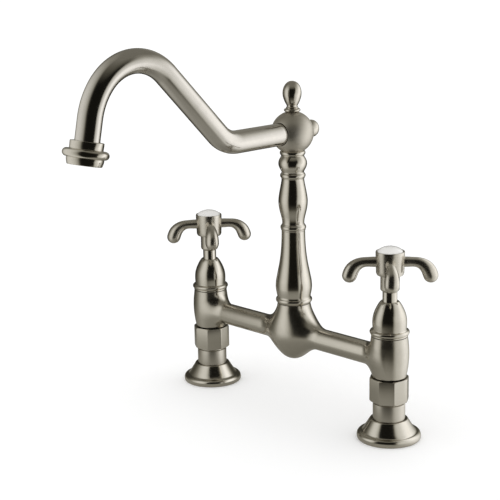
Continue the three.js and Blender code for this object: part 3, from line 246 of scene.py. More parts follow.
ends = add_ramp(
    tree, "roof and ground", [(0.5 + angle / 180, grey / TENT_BRIGHTEST) for angle, grey in TENT_ROOF_AND_GROUND])
behind = add_range(tree, "behind", *TENT_BACK_FROM)
raised = add_range(tree, "raised", *TENT_BACK_UP, to_high=TENT_BACK / TENT_BRIGHTEST)
back = add_math(tree, "back", "MULTIPLY")
lit = add_math(tree, "lit walls", "MULTIPLY_ADD")
whole = add_math(tree, "whole tent", "ADD")
warmed = add_ramp(tree, "warmer where darker", TENT_TINTS)
light = add_node(tree, "ShaderNodeEmission", "light")
light.inputs["Strength"].default_value = TENT_BRIGHTEST
out = add_node(tree, "ShaderNodeOutputMaterial", "out")
wire(tree, split, "Y", front, 0)
wire(tree, split, "X", round_angle, 0)
wire(tree, front, 0, round_angle, 1)
wire(tree, round_angle, 0, turns, 0)
wire(tree, split, "Z", above, 0)
wire(tree, above, 0, right_above, 0)
wire(tree, split, "X", right_above, 1)
wire(tree, right_above, 0, leaned, 0)
wire(tree, turns, 0, leaned, 2)
wire(tree, leaned, 0, walls, "Fac")
wire(tree, split, "Z", height_angle, 0)
wire(tree, height_angle, 0, rise, 0)
wire(tree, rise, 0, reach, "Fac")
wire(tree, rise, 0, ends, "Fac")
wire(tree, split, "Y", behind, "Value")
wire(tree, split, "Z", raised, "Value")
wire(tree, behind, "Result", back, 0)
wire(tree, raised, "Result", back, 1)
wire(tree, walls, "Color", lit, 0)
wire(tree, reach, "Color", lit, 1)
wire(tree, ends, "Color", lit, 2)
wire(tree, lit, 0, whole, 0)
wire(tree, back, 0, whole, 1)
wire(tree, whole, 0, warmed, "Fac")
wire(tree, warmed, "Color", light, "Color")
wire(tree, light, 0, out, "Surface")
tent.data.materials.append(tent_cloth)
seen_by_polish_only(tent)

# A glowing grey disc round the faucet's foot that only reflections see: a painted reflection of
# the floor, with painted shade that makes it darker near the middle and lighter outwards. Its rim
# fades out, and its right edge slants and is soft.
REFLECTED_FLOOR_R = 0.28
REFLECTED_FLOOR_Z = -0.0001
REFLECTED_FLOOR_FADE = 0.16
REFLECTED_FLOOR_SLANT = 0.56
REFLECTED_FLOOR_RIGHT_EDGE = (0.05, 0.005)
REFLECTED_FLOOR_LIGHTEST_R = 0.15
# Painted shade: the darker tone near the middle, the lighter one further out
REFLECTED_FLOOR_SHADE_TONES = ((0.222, 0.215, 0.188), (0.345, 0.338, 0.305))

deselect_all()
bpy.ops.mesh.primitive_circle_add(vertices=96, radius=REFLECTED_FLOOR_R, fill_type="NGON", location=(0, 0, REFLECTED_FLOOR_Z))
floor_reflection_disc = bpy.context.object
floor_reflection_disc.name = "painted_floor_reflection"
painted_floor_reflection, tree = new_material("painted_floor_reflection")
tree.nodes.clear()
place, split = place_in_studio(tree)
slanted = add_math(tree, "slanted edge", "MULTIPLY_ADD", REFLECTED_FLOOR_SLANT)
left_of_edge = add_range(tree, "left of its edge", *REFLECTED_FLOOR_RIGHT_EDGE)
away = add_node(tree, "ShaderNodeVectorMath", "distance out", operation="LENGTH")
inside_rim = add_range(tree, "inside its rim", REFLECTED_FLOOR_R, REFLECTED_FLOOR_R - REFLECTED_FLOOR_FADE)
covered = add_math(tree, "covered", "MULTIPLY")
# Painted shade: the disc grows lighter away from the faucet's foot
outwards = add_range(tree, "lighter outwards", 0, REFLECTED_FLOOR_LIGHTEST_R)
tone = add_mix(tree, "tone", *REFLECTED_FLOOR_SHADE_TONES)
light = add_node(tree, "ShaderNodeEmission", "light")
clear = add_node(tree, "ShaderNodeBsdfTransparent", "nothing")
both = add_node(tree, "ShaderNodeMixShader", "cloth or nothing")
out = add_node(tree, "ShaderNodeOutputMaterial", "out")
wire(tree, split, "Y", slanted, 0)
wire(tree, split, "X", slanted, 2)
wire(tree, slanted, 0, left_of_edge, "Value")
wire(tree, place, "Object", away, 0)
wire(tree, away, "Value", inside_rim, "Value")
wire(tree, left_of_edge, "Result", covered, 0)
wire(tree, inside_rim, "Result", covered, 1)
wire(tree, away, "Value", outwards, "Value")
wire(tree, outwards, "Result", tone, 0)
wire(tree, tone, 2, light, "Color")
wire(tree, covered, 0, both, 0)
wire(tree, clear, 0, both, 1)
wire(tree, light, 0, both, 2)
wire(tree, both, 0, out, "Surface")
floor_reflection_disc.data.materials.append(painted_floor_reflection)
seen_by_polish_only(floor_reflection_disc)

# ------------------------------------------------------------------------------------------------
# The deck flanges: spun brass cones with a rounded rim, plated satin nickel. Each slides down its
# riser onto the deck and hides the tap hole. A rubber gasket lies under it.

# From here on, sizes are in millimetres, and an outline's points are each a radius and a height.
# Blender's own places are in metres. Points closer together than SAME_POINT are made one.
POST_OUT = 101.6
POSTS = {"left": -POST_OUT / 1000, "right": POST_OUT / 1000}
SAME_POINT = 0.002
NICKEL = (0.635, 0.6, 0.53)


def curve_through(points, cuts):
    """A smooth line through measured points of an outline, with some cuts between each pair."""
    line = []
    ends = [points[0], *points, points[-1]]
    for a, b, c, d in zip(ends, ends[1:], ends[2:], ends[3:]):
        for cut in range(cuts):
            t = cut / cuts
            line.append(tuple(
                0.5 * (2 * q + (s - p) * t + (2 * p - 5 * q + 4 * s - u) * t ** 2 + (3 * q - p - 3 * s + u) * t ** 3)
                for p, q, s, u in zip(a, b, c, d)
            ))
    return line + [points[-1]]


def bead(r, reach, low, high, cuts):
    """A half-round bead in an outline, from its low edge to its high one, standing out by its reach."""
    middle, half = (low + high) / 2, (high - low) / 2
    angles = [pi * (cut / cuts - 0.5) for cut in range(cuts + 1)]
    return [(r + reach * cos(a), middle + half * sin(a)) for a in angles]


def spin_outline(name, outline, sides=96):
    """Draws half a section in millimetres as a chain of edges and spins it round the upright axis."""
    deselect_all()
    bpy.ops.mesh.primitive_plane_add(size=0.0001, location=(0, 0, 0))
    piece = bpy.context.object
    piece.name = name
    bpy.ops.object.mode_set(mode="EDIT")
    bpy.ops.mesh.select_mode(type="VERT")
    bpy.ops.mesh.merge(type="CENTER")
    bpy.ops.transform.translate(value=(outline[0][0] / 1000, 0, outline[0][1] / 1000))
    for (r, z), (next_r, next_z) in zip(outline, outline[1:]):
        bpy.ops.mesh.extrude_vertices_move(
            TRANSFORM_OT_translate={"value": ((next_r - r) / 1000, 0, (next_z - z) / 1000)})
    bpy.ops.mesh.select_all(action="SELECT")
    bpy.ops.mesh.spin(steps=sides, angle=2 * pi, center=(0, 0, 0), axis=(0, 0, 1))
    bpy.ops.mesh.select_all(action="SELECT")
    bpy.ops.mesh.remove_doubles(threshold=SAME_POINT / 1000)
    bpy.ops.mesh.dissolve_degenerate(threshold=SAME_POINT / 1000)
    bpy.ops.mesh.select_all(action="SELECT")
    bpy.ops.mesh.normals_make_consistent(inside=False)
    bpy.ops.object.mode_set(mode="OBJECT")
    return piece


def take_up(piece):
    """Selects one piece and nothing else."""
    deselect_all()
    piece.select_set(True)
    bpy.context.view_layer.objects.active = piece


def set_in_place(piece):
    """Puts a piece's place and turn into its mesh."""
    take_up(piece)
    bpy.ops.object.transform_apply(location=True, rotation=True, scale=True)


def use_modifier(piece, kind, **settings):
    """Adds one modifier to a piece and applies it."""
    take_up(piece)
    modifier = piece.modifiers.new(kind.lower(), kind)
    for key, value in settings.items():
        setattr(modifier, key, value)
    bpy.ops.object.modifier_apply(modifier=modifier.name)


def break_edges(piece, width, segments=3):
    """Takes the sharpness off a piece's edges, width in millimetres, and smooths what curves."""
    use_modifier(piece, "BEVEL", width=width / 1000, segments=segments, limit_method="ANGLE",
                 angle_limit=radians(30), use_clamp_overlap=True)
    bpy.ops.object.shade_smooth_by_angle(angle=radians(38))


def stand_on_posts(piece, turned=(0, 0)):
    """Copies a piece made on the centre line and stands one copy at each post, turned in degrees."""
    pair = {}
    for (side, x), angle in zip(POSTS.items(), turned):
        take_up(piece)
        bpy.ops.object.duplicate()
        copy = bpy.context.object
        copy.name = f"{side}_{piece.name}"
        copy.location = (x, 0, 0)
        copy.rotation_euler = (0, 0, radians(angle))
        set_in_place(copy)
        pair[side] = copy
    bpy.data.objects.remove(piece)
    return pair


def add_noise(tree, label, scale, detail, roughness=0.5):
    noise = add_node(tree, "ShaderNodeTexNoise", label)
    noise.inputs["Scale"].default_value = scale
    noise.inputs["Detail"].default_value = detail
    noise.inputs["Roughness"].default_value = roughness
    return noise


def lay_finish(tree, pattern, colour, tones, shines, depth, height, raised=None):
    """Lets a pattern, which is a node and its output, vary a finish between two tones and two shines.

    Tones are shares of the colour. The pattern stands out too, or what is given as raised does:
    depth is the relief's strength, and height its full height in metres.
    """
    shader = tree.nodes["Principled BSDF"]
    tone = add_mix(tree, "tone", *([min(share * c, 1) for c in colour] for share in tones))
    shine = add_range(tree, "shine", 0, 1, *shines)
    relief = add_node(tree, "ShaderNodeBump", "relief")
    relief.inputs["Strength"].default_value = depth
    relief.inputs["Distance"].default_value = height
    wire(tree, *pattern, tone, 0)
    wire(tree, tone, 2, shader, "Base Color")
    wire(tree, *pattern, shine, "Value")
    wire(tree, shine, "Result", shader, "Roughness")
    wire(tree, *(raised or pattern), relief, "Height")
    wire(tree, relief, "Normal", shader, "Normal")


def brushed(name, colour, roughness, centre=(0, 0, 0), tilt=0.0, grain=(60, 60, 5200), depth=0.12):
    """Plated metal with the fine lines of a brush, laid round an axis at centre, tilted about X."""
    metal, tree = new_material(name)
    tree.nodes["Principled BSDF"].inputs["Metallic"].default_value = 1
    place = add_node(tree, "ShaderNodeTexCoord", "place")
    about = add_node(tree, "ShaderNodeMapping", "about its axis", vector_type="TEXTURE")
    about.inputs["Location"].default_value = centre
    about.inputs["Rotation"].default_value = (tilt, 0, 0)
    stretched = add_node(tree, "ShaderNodeMapping", "along the brush")
    stretched.inputs["Scale"].default_value = grain
    lines = add_noise(tree, "brush lines", scale=1, detail=3, roughness=0.6)
    cloud = add_noise(tree, "uneven plating", scale=60, detail=2)
    both = add_math(tree, "lines and cloud", "MULTIPLY_ADD", 1.4)
    streaks = add_range(tree, "streaks", 0.6, 1.8)
    wire(tree, place, "Object", about, "Vector")
    wire(tree, about, "Vector", stretched, "Vector")
    wire(tree, stretched, "Vector", lines, "Vector")
    wire(tree, place, "Object", cloud, "Vector")
    wire(tree, lines, "Fac", both, 0)
    wire(tree, cloud, "Fac", both, 2)
    wire(tree, both, 0, streaks, "Value")
    lay_finish(tree, (streaks, "Result"), colour, tones=(0.93, 1.06), shines=(roughness - 0.045, roughness + 0.045),
               depth=depth, height=0.00002, raised=(lines, "Fac"))
    return metal


def moulded(name, colour, roughness, grain=900, depth=0.15):
    """Moulded rubber, plastic or ceramic: a fine skin and a slightly uneven colour."""
    stuff, tree = new_material(name)
    place = add_node(tree, "ShaderNodeTexCoord", "place")
    skin = add_noise(tree, "skin", scale=grain, detail=3)
    wire(tree, place, "Object", skin, "Vector")
    lay_finish(tree, (skin, "Fac"), colour, tones=(0.92, 1.06), shines=(roughness - 0.06, roughness + 0.06),
               depth=depth, height=0.00003)
    return stuff


def fit(piece, material, body, node):
    """A finished piece gets its material, moves with its body and stands for its CAD node."""
    piece.data.materials.clear()
    piece.data.materials.append(material)
    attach(piece, body)
    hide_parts(node)


rim = curve_through([(24.6, 0), (25.05, 0.9), (25.2, 2.4), (24.95, 3.8), (24.2, 4.9), (23.0, 5.5), (21.9, 5.65)], 3)
cone = curve_through([(21.0, 6.25), (19.9, 7.7), (18.3, 10.2), (16.75, 12.7), (15.5, 14.75), (14.85, 15.75)], 3)
flange = spin_outline("flange", [
    *rim, *cone, (14.5, 16), (13.5, 16), (13.5, 13), (19.1, 5.4), (20.8, 3.4), (20.8, 0), (24.6, 0),
], sides=128)
break_edges(flange, 0.18)
flanges = stand_on_posts(flange)

gasket = spin_outline("gasket", [(13, 0.4), (20.2, 0.4), (20.2, 2), (13, 2), (13, 0.4)], sides=64)
break_edges(gasket, 0.3)
gaskets = stand_on_posts(gasket)

black_rubber = moulded("black_rubber", (0.028, 0.028, 0.029), 0.62)
post_nickel = {}
for side, x in POSTS.items():
    post_nickel[side] = brushed(f"{side}_post_nickel", NICKEL, 0.14, centre=(x, 0, 0))
    fit(flanges[side], post_nickel[side], "faucet_body", f"{side}_deck_flange")
    fit(gaskets[side], black_rubber, "faucet_body", f"{side}_deck_gasket")

# ------------------------------------------------------------------------------------------------
# The risers: plated brass tubes that come up through the deck. Their upper end is threaded inside
# the coupling nut, with a relief groove under it, and their lower end takes the water supply.

riser = spin_outline("riser", [
    (8.4, 1.5), (12.2, 1.5), (12.7, 2), (12.7, 29.0), (11.6, 29.4), (11.6, 31.2), (12.7, 31.5), (12.7, 40),
    (12.4, 40.3), (8.3, 40.3), (8, 40), (8, 1.9), (8.4, 1.5),
])
break_edges(riser, 0.1, 2)
risers = stand_on_posts(riser)
for side, x in POSTS.items():
    riser_nickel = brushed(f"{side}_riser_nickel", NICKEL, 0.32, centre=(x, 0, 0), depth=0.2)
    fit(risers[side], riser_nickel, "faucet_body", f"{side}_riser")

# ------------------------------------------------------------------------------------------------
# The coupling nuts: eight-sided brass, turned at both ends so that their corners are rounded off,
# and plated. They draw the casting's tails down on the risers.

NUT_TURNED = (33.9, 9.3)
NUT_FLATS = 29.2
NUT_SIDES = 8
NUT_CORNERS_R = NUT_FLATS / 2 / cos(pi / NUT_SIDES)
NUT_ENDS_R = 14.1
NUT_FOOT_Z = 31
NUT_TOP_Z = 50


def add_rod(r, length, place, along="Z", sides=48):
    """Adds a plain rod about its middle, as a blank or a cutter."""
    turned = {"X": (0, pi / 2, 0), "Y": (pi / 2, 0, 0), "Z": (0, 0, 0)}[along]
    deselect_all()
    bpy.ops.mesh.primitive_cylinder_add(
        vertices=sides, radius=r / 1000, depth=length / 1000, location=[part / 1000 for part in place],
        rotation=turned,
    )
    return bpy.context.object


def cut_with(piece, cutter, operation):
    """Joins, cuts or crosses a piece with another solid, which is used up."""
    use_modifier(piece, "BOOLEAN", operation=operation, object=cutter, solver="EXACT")
    bpy.data.objects.remove(cutter)


nut = add_rod(NUT_CORNERS_R, NUT_TOP_Z - NUT_FOOT_Z, (0, 0, (NUT_FOOT_Z + NUT_TOP_Z) / 2), sides=NUT_SIDES)
nut.name = "nut"
set_in_place(nut)
turned_ends = spin_outline("turned_ends", [
    *bead(NUT_ENDS_R, NUT_CORNERS_R - NUT_ENDS_R, NUT_FOOT_Z, 33.4, 12)[:7],
    *bead(NUT_ENDS_R, NUT_CORNERS_R - NUT_ENDS_R, 47.6, NUT_TOP_Z, 12)[6:],
    (11.3, NUT_TOP_Z), (11.3, 48), (13, 48), (13, 32.5), (13.6, 31.8), (13.6, NUT_FOOT_Z),
    (NUT_ENDS_R, NUT_FOOT_Z),
], sides=128)
cut_with(nut, turned_ends, "INTERSECT")
break_edges(nut, 0.4)
nuts = stand_on_posts(nut, NUT_TURNED)
for side, x in POSTS.items():
    nut_nickel = brushed(f"{side}_nut_nickel", NICKEL, 0.22, centre=(x, 0, 0), depth=0.2)
    fit(nuts[side], nut_nickel, "faucet_body", f"{side}_coupling_nut")

# ------------------------------------------------------------------------------------------------
# The bridge: one brass casting with a valve body at each end and a drop-shaped hub in the middle,
# joined by two round arms that run into them in wide fillets. It is linished by hand and plated.

ARM_Z = 64.6
ARM_R = 9.0
ARM_MIDDLE = 50
HUB_TOP_Z = 90.6
BODY_TOP_Z = 83.3
BODY_FOOT_Z = 51.0
BODY_FOOT_R = 13.25
TAIL_R = 11.0
TAIL_LENGTH = 3.0
POST_FILLET = 8.0
HUB_FILLET_UNDER = 11.0
HUB_FILLET_OVER = 16.0
HUB_FILLET_GROWS = 20
PROBE = 0.08
HAIR = 0.001
HUB_LINE = curve_through([
    (0.0, 42.4), (3.4, 42.85), (7.2, 44.5), (10.4, 47.0), (13.2, 50.3), (15.6, 54.0), (17.5, 58.2), (18.35, 62.5),
    (18.2, 67.5), (17.3, 73.5), (16.1, 79.5), (14.9, 84.5), (14.0, 88.2), (13.6, 90.6), (13.5, 94.0),
], 6)
VALVE_BODY_LINE = curve_through([
    (12.9, 47.0), (13.2, 50.3), (14.0, 54.5), (14.75, 59.5), (15.2, 65.0), (15.3, 70.0), (15.05, 75.5),
    (14.55, 80.0), (14.2, 83.3), (14.0, 86.5),
], 6)


def skin_distances(line):
    """A fine table of the distance to a turned form's skin, less than nothing inside it, to read from."""
    step, lowest = 0.25, 30
    r_steps, z_steps = np.arange(0, 40, step), np.arange(lowest, 110, step)
    r, z = (grid.ravel() for grid in np.meshgrid(r_steps, z_steps, indexing="ij"))
    bottom, top = line[0][1], line[-1][1]
    line = np.array(line)
    start, along = line[:-1], np.diff(line, axis=0)
    apart = np.stack([r, z], -1)[:, None] - start
    share = np.clip((apart * along).sum(-1) / (along ** 2).sum(-1), 0, 1)
    off = np.linalg.norm(apart - share[..., None] * along, axis=-1).min(1)
    inside = (r < np.interp(z, line[:, 1], line[:, 0])) & (z < top) & (z > bottom)
    table = np.where(inside, -off, off).reshape(len(r_steps), len(z_steps))

    def read(r, z):
        i = np.clip(r / step, 0, len(r_steps) - 1.001)
        j = np.clip((z - lowest) / step, 0, len(z_steps) - 1.001)
        low_i, low_j = i.astype(int), j.astype(int)
        a, b = i - low_i, j - low_j
        near = table[low_i, low_j] * (1 - a) * (1 - b) + table[low_i + 1, low_j] * a * (1 - b)
        near += table[low_i, low_j + 1] * (1 - a) * b + table[low_i + 1, low_j + 1] * a * b
        return near + np.maximum(r - r_steps[-2], 0)

    return read


off_hub = skin_distances(HUB_LINE)
off_valve_body = skin_distances(VALVE_BODY_LINE)


def run_together(a, b, fillet):
    """Two forms joined with a rounded fillet between them, as distances from their skins."""
    return np.maximum(fillet, np.minimum(a, b)) - np.hypot(np.maximum(fillet - a, 0), np.maximum(fillet - b, 0))


def off_casting(places):
    """The distance from the casting's skin, with the fillets at the hub growing wider towards the top."""
    x, y, z = places.T
    arm = np.maximum(np.hypot(y, z - ARM_Z) - ARM_R, np.abs(x) - POST_OUT)
    above = np.clip((z - ARM_Z) / HUB_FILLET_GROWS + 0.5, 0, 1)
    hub_fillet = HUB_FILLET_UNDER + (HUB_FILLET_OVER - HUB_FILLET_UNDER) * above ** 2 * (3 - 2 * above)
    hub = run_together(off_hub(np.hypot(x, y), z), arm, hub_fillet)
    post = run_together(off_valve_body(np.hypot(np.abs(x) - POST_OUT, y), z), arm, POST_FILLET)
    return np.where(np.abs(x) < ARM_MIDDLE, hub, post)


def outward(places):
    """Which way lies straight off the casting's skin, felt out a little to each side of a place."""
    steps = np.eye(3) * PROBE
    return np.stack([off_casting(places + step) - off_casting(places - step) for step in steps], -1) / (2 * PROBE)


def dress_down(piece, rounds, passes, farthest=1.5, least_slope=0.3):
    """Evens out a piece's mesh and moves it onto the casting's skin, over and over."""
    for _ in range(rounds):
        use_modifier(piece, "SMOOTH", factor=0.5, iterations=passes)
        places = np.empty(len(piece.data.vertices) * 3)
        piece.data.vertices.foreach_get("co", places)
        places = places.reshape(-1, 3) * 1000
        for _ in range(2):
            slope = outward(places)
            off = np.clip(off_casting(places), -farthest, farthest)
            places = places - (off / np.maximum((slope ** 2).sum(1), least_slope))[:, None] * slope
        piece.data.vertices.foreach_set("co", (places / 1000).ravel())
        piece.data.update()


bridge = spin_outline("bridge", [*HUB_LINE, (0, HUB_LINE[-1][1])], sides=48)
post_blank = spin_outline("post_blank", [
    (0, VALVE_BODY_LINE[0][1]), *VALVE_BODY_LINE, (0, VALVE_BODY_LINE[-1][1]),
], sides=48)
for blank in stand_on_posts(post_blank).values():
    cut_with(bridge, blank, "UNION")
arm_blank = add_rod(ARM_R, 2 * POST_OUT, (0, 0, ARM_Z), along="X")
set_in_place(arm_blank)
cut_with(bridge, arm_blank, "UNION")
use_modifier(bridge, "REMESH", mode="VOXEL", voxel_size=0.0015)
dress_down(bridge, rounds=14, passes=3)
use_modifier(bridge, "REMESH", mode="VOXEL", voxel_size=0.00075)
dress_down(bridge, rounds=3, passes=5)


def pick_faces(piece, wanted):
    """Goes into edit mode with only the wanted faces of a piece selected."""
    take_up(piece)
    bpy.ops.object.mode_set(mode="EDIT")
    bpy.ops.mesh.select_mode(type="FACE")
    bpy.ops.mesh.select_all(action="DESELECT")
    bpy.ops.object.mode_set(mode="OBJECT")
    for face in piece.data.polygons:
        face.select = wanted(face)
    bpy.ops.object.mode_set(mode="EDIT")


def slice_off(piece, z, near_x, above):
    """Cuts a piece level at z near one upright axis, throws away what is above or below, and closes it."""
    pick_faces(piece, lambda face: abs(face.center.x - near_x) < 0.03 and abs(face.center.z - z / 1000) < 0.008)
    bpy.ops.mesh.bisect(
        plane_co=(near_x, 0, z / 1000), plane_no=(0, 0, 1), use_fill=True, clear_outer=above, clear_inner=not above,
    )
    bpy.ops.object.mode_set(mode="OBJECT")


# Each cut is level. A tail for the coupling nut's ring then grows out of each valve body's foot.
slice_off(bridge, HUB_TOP_Z, 0, above=True)
for x in POSTS.values():
    slice_off(bridge, BODY_TOP_Z, x, above=True)
    slice_off(bridge, BODY_FOOT_Z, x, above=False)
    pick_faces(bridge, lambda face: abs(face.center.x - x) < 0.02 and face.center.z < (BODY_FOOT_Z + HAIR) / 1000)
    bpy.ops.mesh.inset(thickness=(BODY_FOOT_R - TAIL_R) / 1000)
    bpy.ops.mesh.extrude_region_move(TRANSFORM_OT_translate={"value": (0, 0, -TAIL_LENGTH / 1000)})
    bpy.ops.object.mode_set(mode="OBJECT")
GRUB_SCREW_Z = 76.8
cut_with(bridge, add_rod(2.3, 10, (0, 20.4, GRUB_SCREW_Z), along="Y"), "DIFFERENCE")
take_up(bridge)
bpy.ops.object.shade_smooth_by_angle(angle=radians(40))
bridge_nickel = brushed("bridge_nickel", NICKEL, 0.2, grain=(700, 300, 300), depth=0.05)
fit(bridge, bridge_nickel, "faucet_body", "bridge_body")

# ------------------------------------------------------------------------------------------------
# The grub screw at the back of the hub: stainless, with a hexagon socket. Its tip runs in the
# spigot's groove and keeps the spout column in the hub.

grub_screw = add_rod(2, 6.5, (0, 13.15, GRUB_SCREW_Z), along="Y")
grub_screw.name = "hub_grub_screw"
cut_with(grub_screw, add_rod(1.15, 4, (0, 16.3, GRUB_SCREW_Z), along="Y", sides=6), "DIFFERENCE")
set_in_place(grub_screw)
break_edges(grub_screw, 0.12, 2)
bare_steel = brushed("bare_steel", (0.52, 0.52, 0.51), 0.3, grain=(1500, 1500, 1500))
fit(grub_screw, bare_steel, "faucet_body", "grub_screw")

# ------------------------------------------------------------------------------------------------
# The bonnets: turned brass domes that screw down over the cartridges, with a bead and a thin collar
# at the foot. A plain sleeve covers the stem between each bonnet and its handle.

dome = curve_through([
    (13.15, 88.9), (13.3, 91.6), (13.38, 94.6), (13.15, 97.7), (12.55, 100.6), (11.55, 103.5),
    (10.2, 106.4), (8.75, 109.0), (7.6, 110.6),
], 4)
bonnet = spin_outline("bonnet", [
    (11.7, 83.6), (13.9, 83.6), (14.45, 83.95), (14.45, 84.75), (14.1, 85.1), *bead(13.9, 1.55, 85.1, 88.35, 14)[1:],
    *dome, (7.1, 111.1), (6, 111.1), (6, 109.7), (7.7, 108.0), (9.9, 103.6), (11.9, 97.6), (11.95, 93.0),
    (11.7, 83.6),
], sides=128)
break_edges(bonnet, 0.14)
bonnets = stand_on_posts(bonnet)

sleeve = spin_outline("sleeve", [
    (4.6, 105), (7, 105), (7, 107), (5.7, 107), (5.7, 118.8), (5.45, 119.1), (4.6, 119.1), (4.6, 105),
], sides=64)
break_edges(sleeve, 0.1, 2)
sleeves = stand_on_posts(sleeve)
for side in POSTS:
    fit(bonnets[side], post_nickel[side], "faucet_body", f"{side}_bonnet")
    fit(sleeves[side], post_nickel[side], "faucet_body", f"{side}_stem_sleeve")

# ------------------------------------------------------------------------------------------------
# The cross handles: brass castings on the cartridge stems. Four arms leave the cup level, swell and
# curl down like paws. Each handle turns a quarter turn.

HANDLE_TURNED = (-38, -48)
# One arm, as rings: how far out the middle of each lies, how high, and its radius. More rings, at
# PAW_END_ANGLES on a ball, round off the last one.
PAW = curve_through([
    (8.0, 142.1, 3.95), (13.0, 142.15, 3.95), (17.5, 142.1, 3.75), (21.0, 141.7, 3.95), (24.0, 140.6, 4.45),
    (26.5, 138.9, 5.0), (28.6, 136.6, 5.5), (30.0, 134.0, 5.75), (30.9, 131.6, 5.75),
], 5)
PAW_END_ANGLES = (10, 20, 30, 40, 50, 60, 70, 80, 87)

cup = curve_through([(10.75, 133.6), (10.95, 139.0), (11.1, 144.5), (11.2, 149.9)], 2)
handle = spin_outline("cross_handle", [
    (4.6, 119.4), (6.1, 119.4), (6.75, 119.65), (7.25, 120.3), (7.4, 121.2), (7.4, 131.9), (9.5, 131.9),
    (10.1, 132.2), *cup, (11.0, 150.5), (10.2, 150.5), (10.2, 148.5), (7.4, 148.5), (7.4, 139.7),
    (4.6, 139.7), (4.6, 119.4),
], sides=128)

(before_s, before_z, _), (tip_s, tip_z, tip_r) = PAW[-2:]
run = Vector((tip_s - before_s, tip_z - before_z)).normalized()
rings = list(PAW)
for angle in PAW_END_ANGLES:
    reach = tip_r * sin(radians(angle))
    rings.append((tip_s + run.x * reach, tip_z + run.y * reach, tip_r * cos(radians(angle))))
headings = []
for index in range(len(rings)):
    a, b = rings[max(index - 1, 0)], rings[min(index + 1, len(rings) - 1)]
    headings.append(Vector((b[0] - a[0], b[1] - a[1])).angle_signed(Vector((1, 0))))
deselect_all()
s, z, r = rings[0]
bpy.ops.mesh.primitive_circle_add(
    vertices=40, radius=r / 1000, fill_type="NGON", location=(s / 1000, 0, z / 1000), rotation=(0, pi / 2, 0),
)
paw = bpy.context.object
set_in_place(paw)
bpy.ops.object.mode_set(mode="EDIT")
bpy.ops.mesh.select_all(action="SELECT")
for index in range(1, len(rings)):
    s, z, r = rings[index]
    last_s, last_z, last_r = rings[index - 1]
    centre = (s / 1000, 0, z / 1000)
    bpy.ops.mesh.extrude_region_move(
        TRANSFORM_OT_translate={"value": ((s - last_s) / 1000, 0, (z - last_z) / 1000)})
    bpy.ops.transform.rotate(
        value=headings[index] - headings[index - 1], orient_axis="Y", center_override=centre)
    bpy.ops.transform.resize(value=(r / last_r,) * 3, center_override=centre)
bpy.ops.mesh.select_all(action="SELECT")
bpy.ops.mesh.normals_make_consistent(inside=False)
bpy.ops.object.mode_set(mode="OBJECT")
for quarter in range(4):
    take_up(paw)
    bpy.ops.object.duplicate()
    arm = bpy.context.object
    arm.rotation_euler = (0, 0, radians(90 * quarter))
    set_in_place(arm)
    cut_with(handle, arm, "UNION")
bpy.data.objects.remove(paw)
break_edges(handle, 0.35)
handles = stand_on_posts(handle, HANDLE_TURNED)
for side, x in POSTS.items():
    handle_nickel = brushed(
        f"{side}_handle_nickel", NICKEL, 0.26, centre=(x, 0, 0), grain=(500, 500, 900), depth=0.06)
    fit(handles[side], handle_nickel, f"{side}_handle", f"{side}_handle")

# ------------------------------------------------------------------------------------------------
# The index buttons: plain white glazed porcelain domes that clip into the handles' cups. Each hides
# the screw that holds its handle on the stem.


def glazed(name, colour):
    """Porcelain: a white body under a clear glaze that pooled a little unevenly."""
    ware, tree = new_material(name)
    shader = tree.nodes["Principled BSDF"]
    shader.inputs["Coat Weight"].default_value = 0.6
    shader.inputs["Coat Roughness"].default_value = 0.04
    place = add_node(tree, "ShaderNodeTexCoord", "place")
    pool = add_noise(tree, "pooled glaze", scale=160, detail=2)
    wire(tree, place, "Object", pool, "Vector")
    lay_finish(tree, (pool, "Fac"), colour, tones=(0.97, 1), shines=(0.08, 0.16), depth=0.15, height=0.0001)
    return ware


button = spin_outline("button", [
    (0, 144.8), (7, 144.8), (7, 148.8), (9.6, 148.8), (9.9, 149.1), (9.9, 150.3),
    *curve_through([(9.75, 150.75), (8.7, 151.75), (7.0, 152.8), (4.8, 153.65), (2.4, 154.15), (0, 154.3)], 4),
])
break_edges(button, 0.12, 2)
buttons = stand_on_posts(button)
white_porcelain = glazed("white_porcelain", (0.82, 0.81, 0.785))
for side in POSTS:
    fit(buttons[side], white_porcelain, f"{side}_handle", f"{side}_index_button")

# ------------------------------------------------------------------------------------------------
# The spout column: a turned brass baluster between the hub and the ball, with a collar at each
# change of form. It swivels in the hub on a spigot that two O-rings seal.

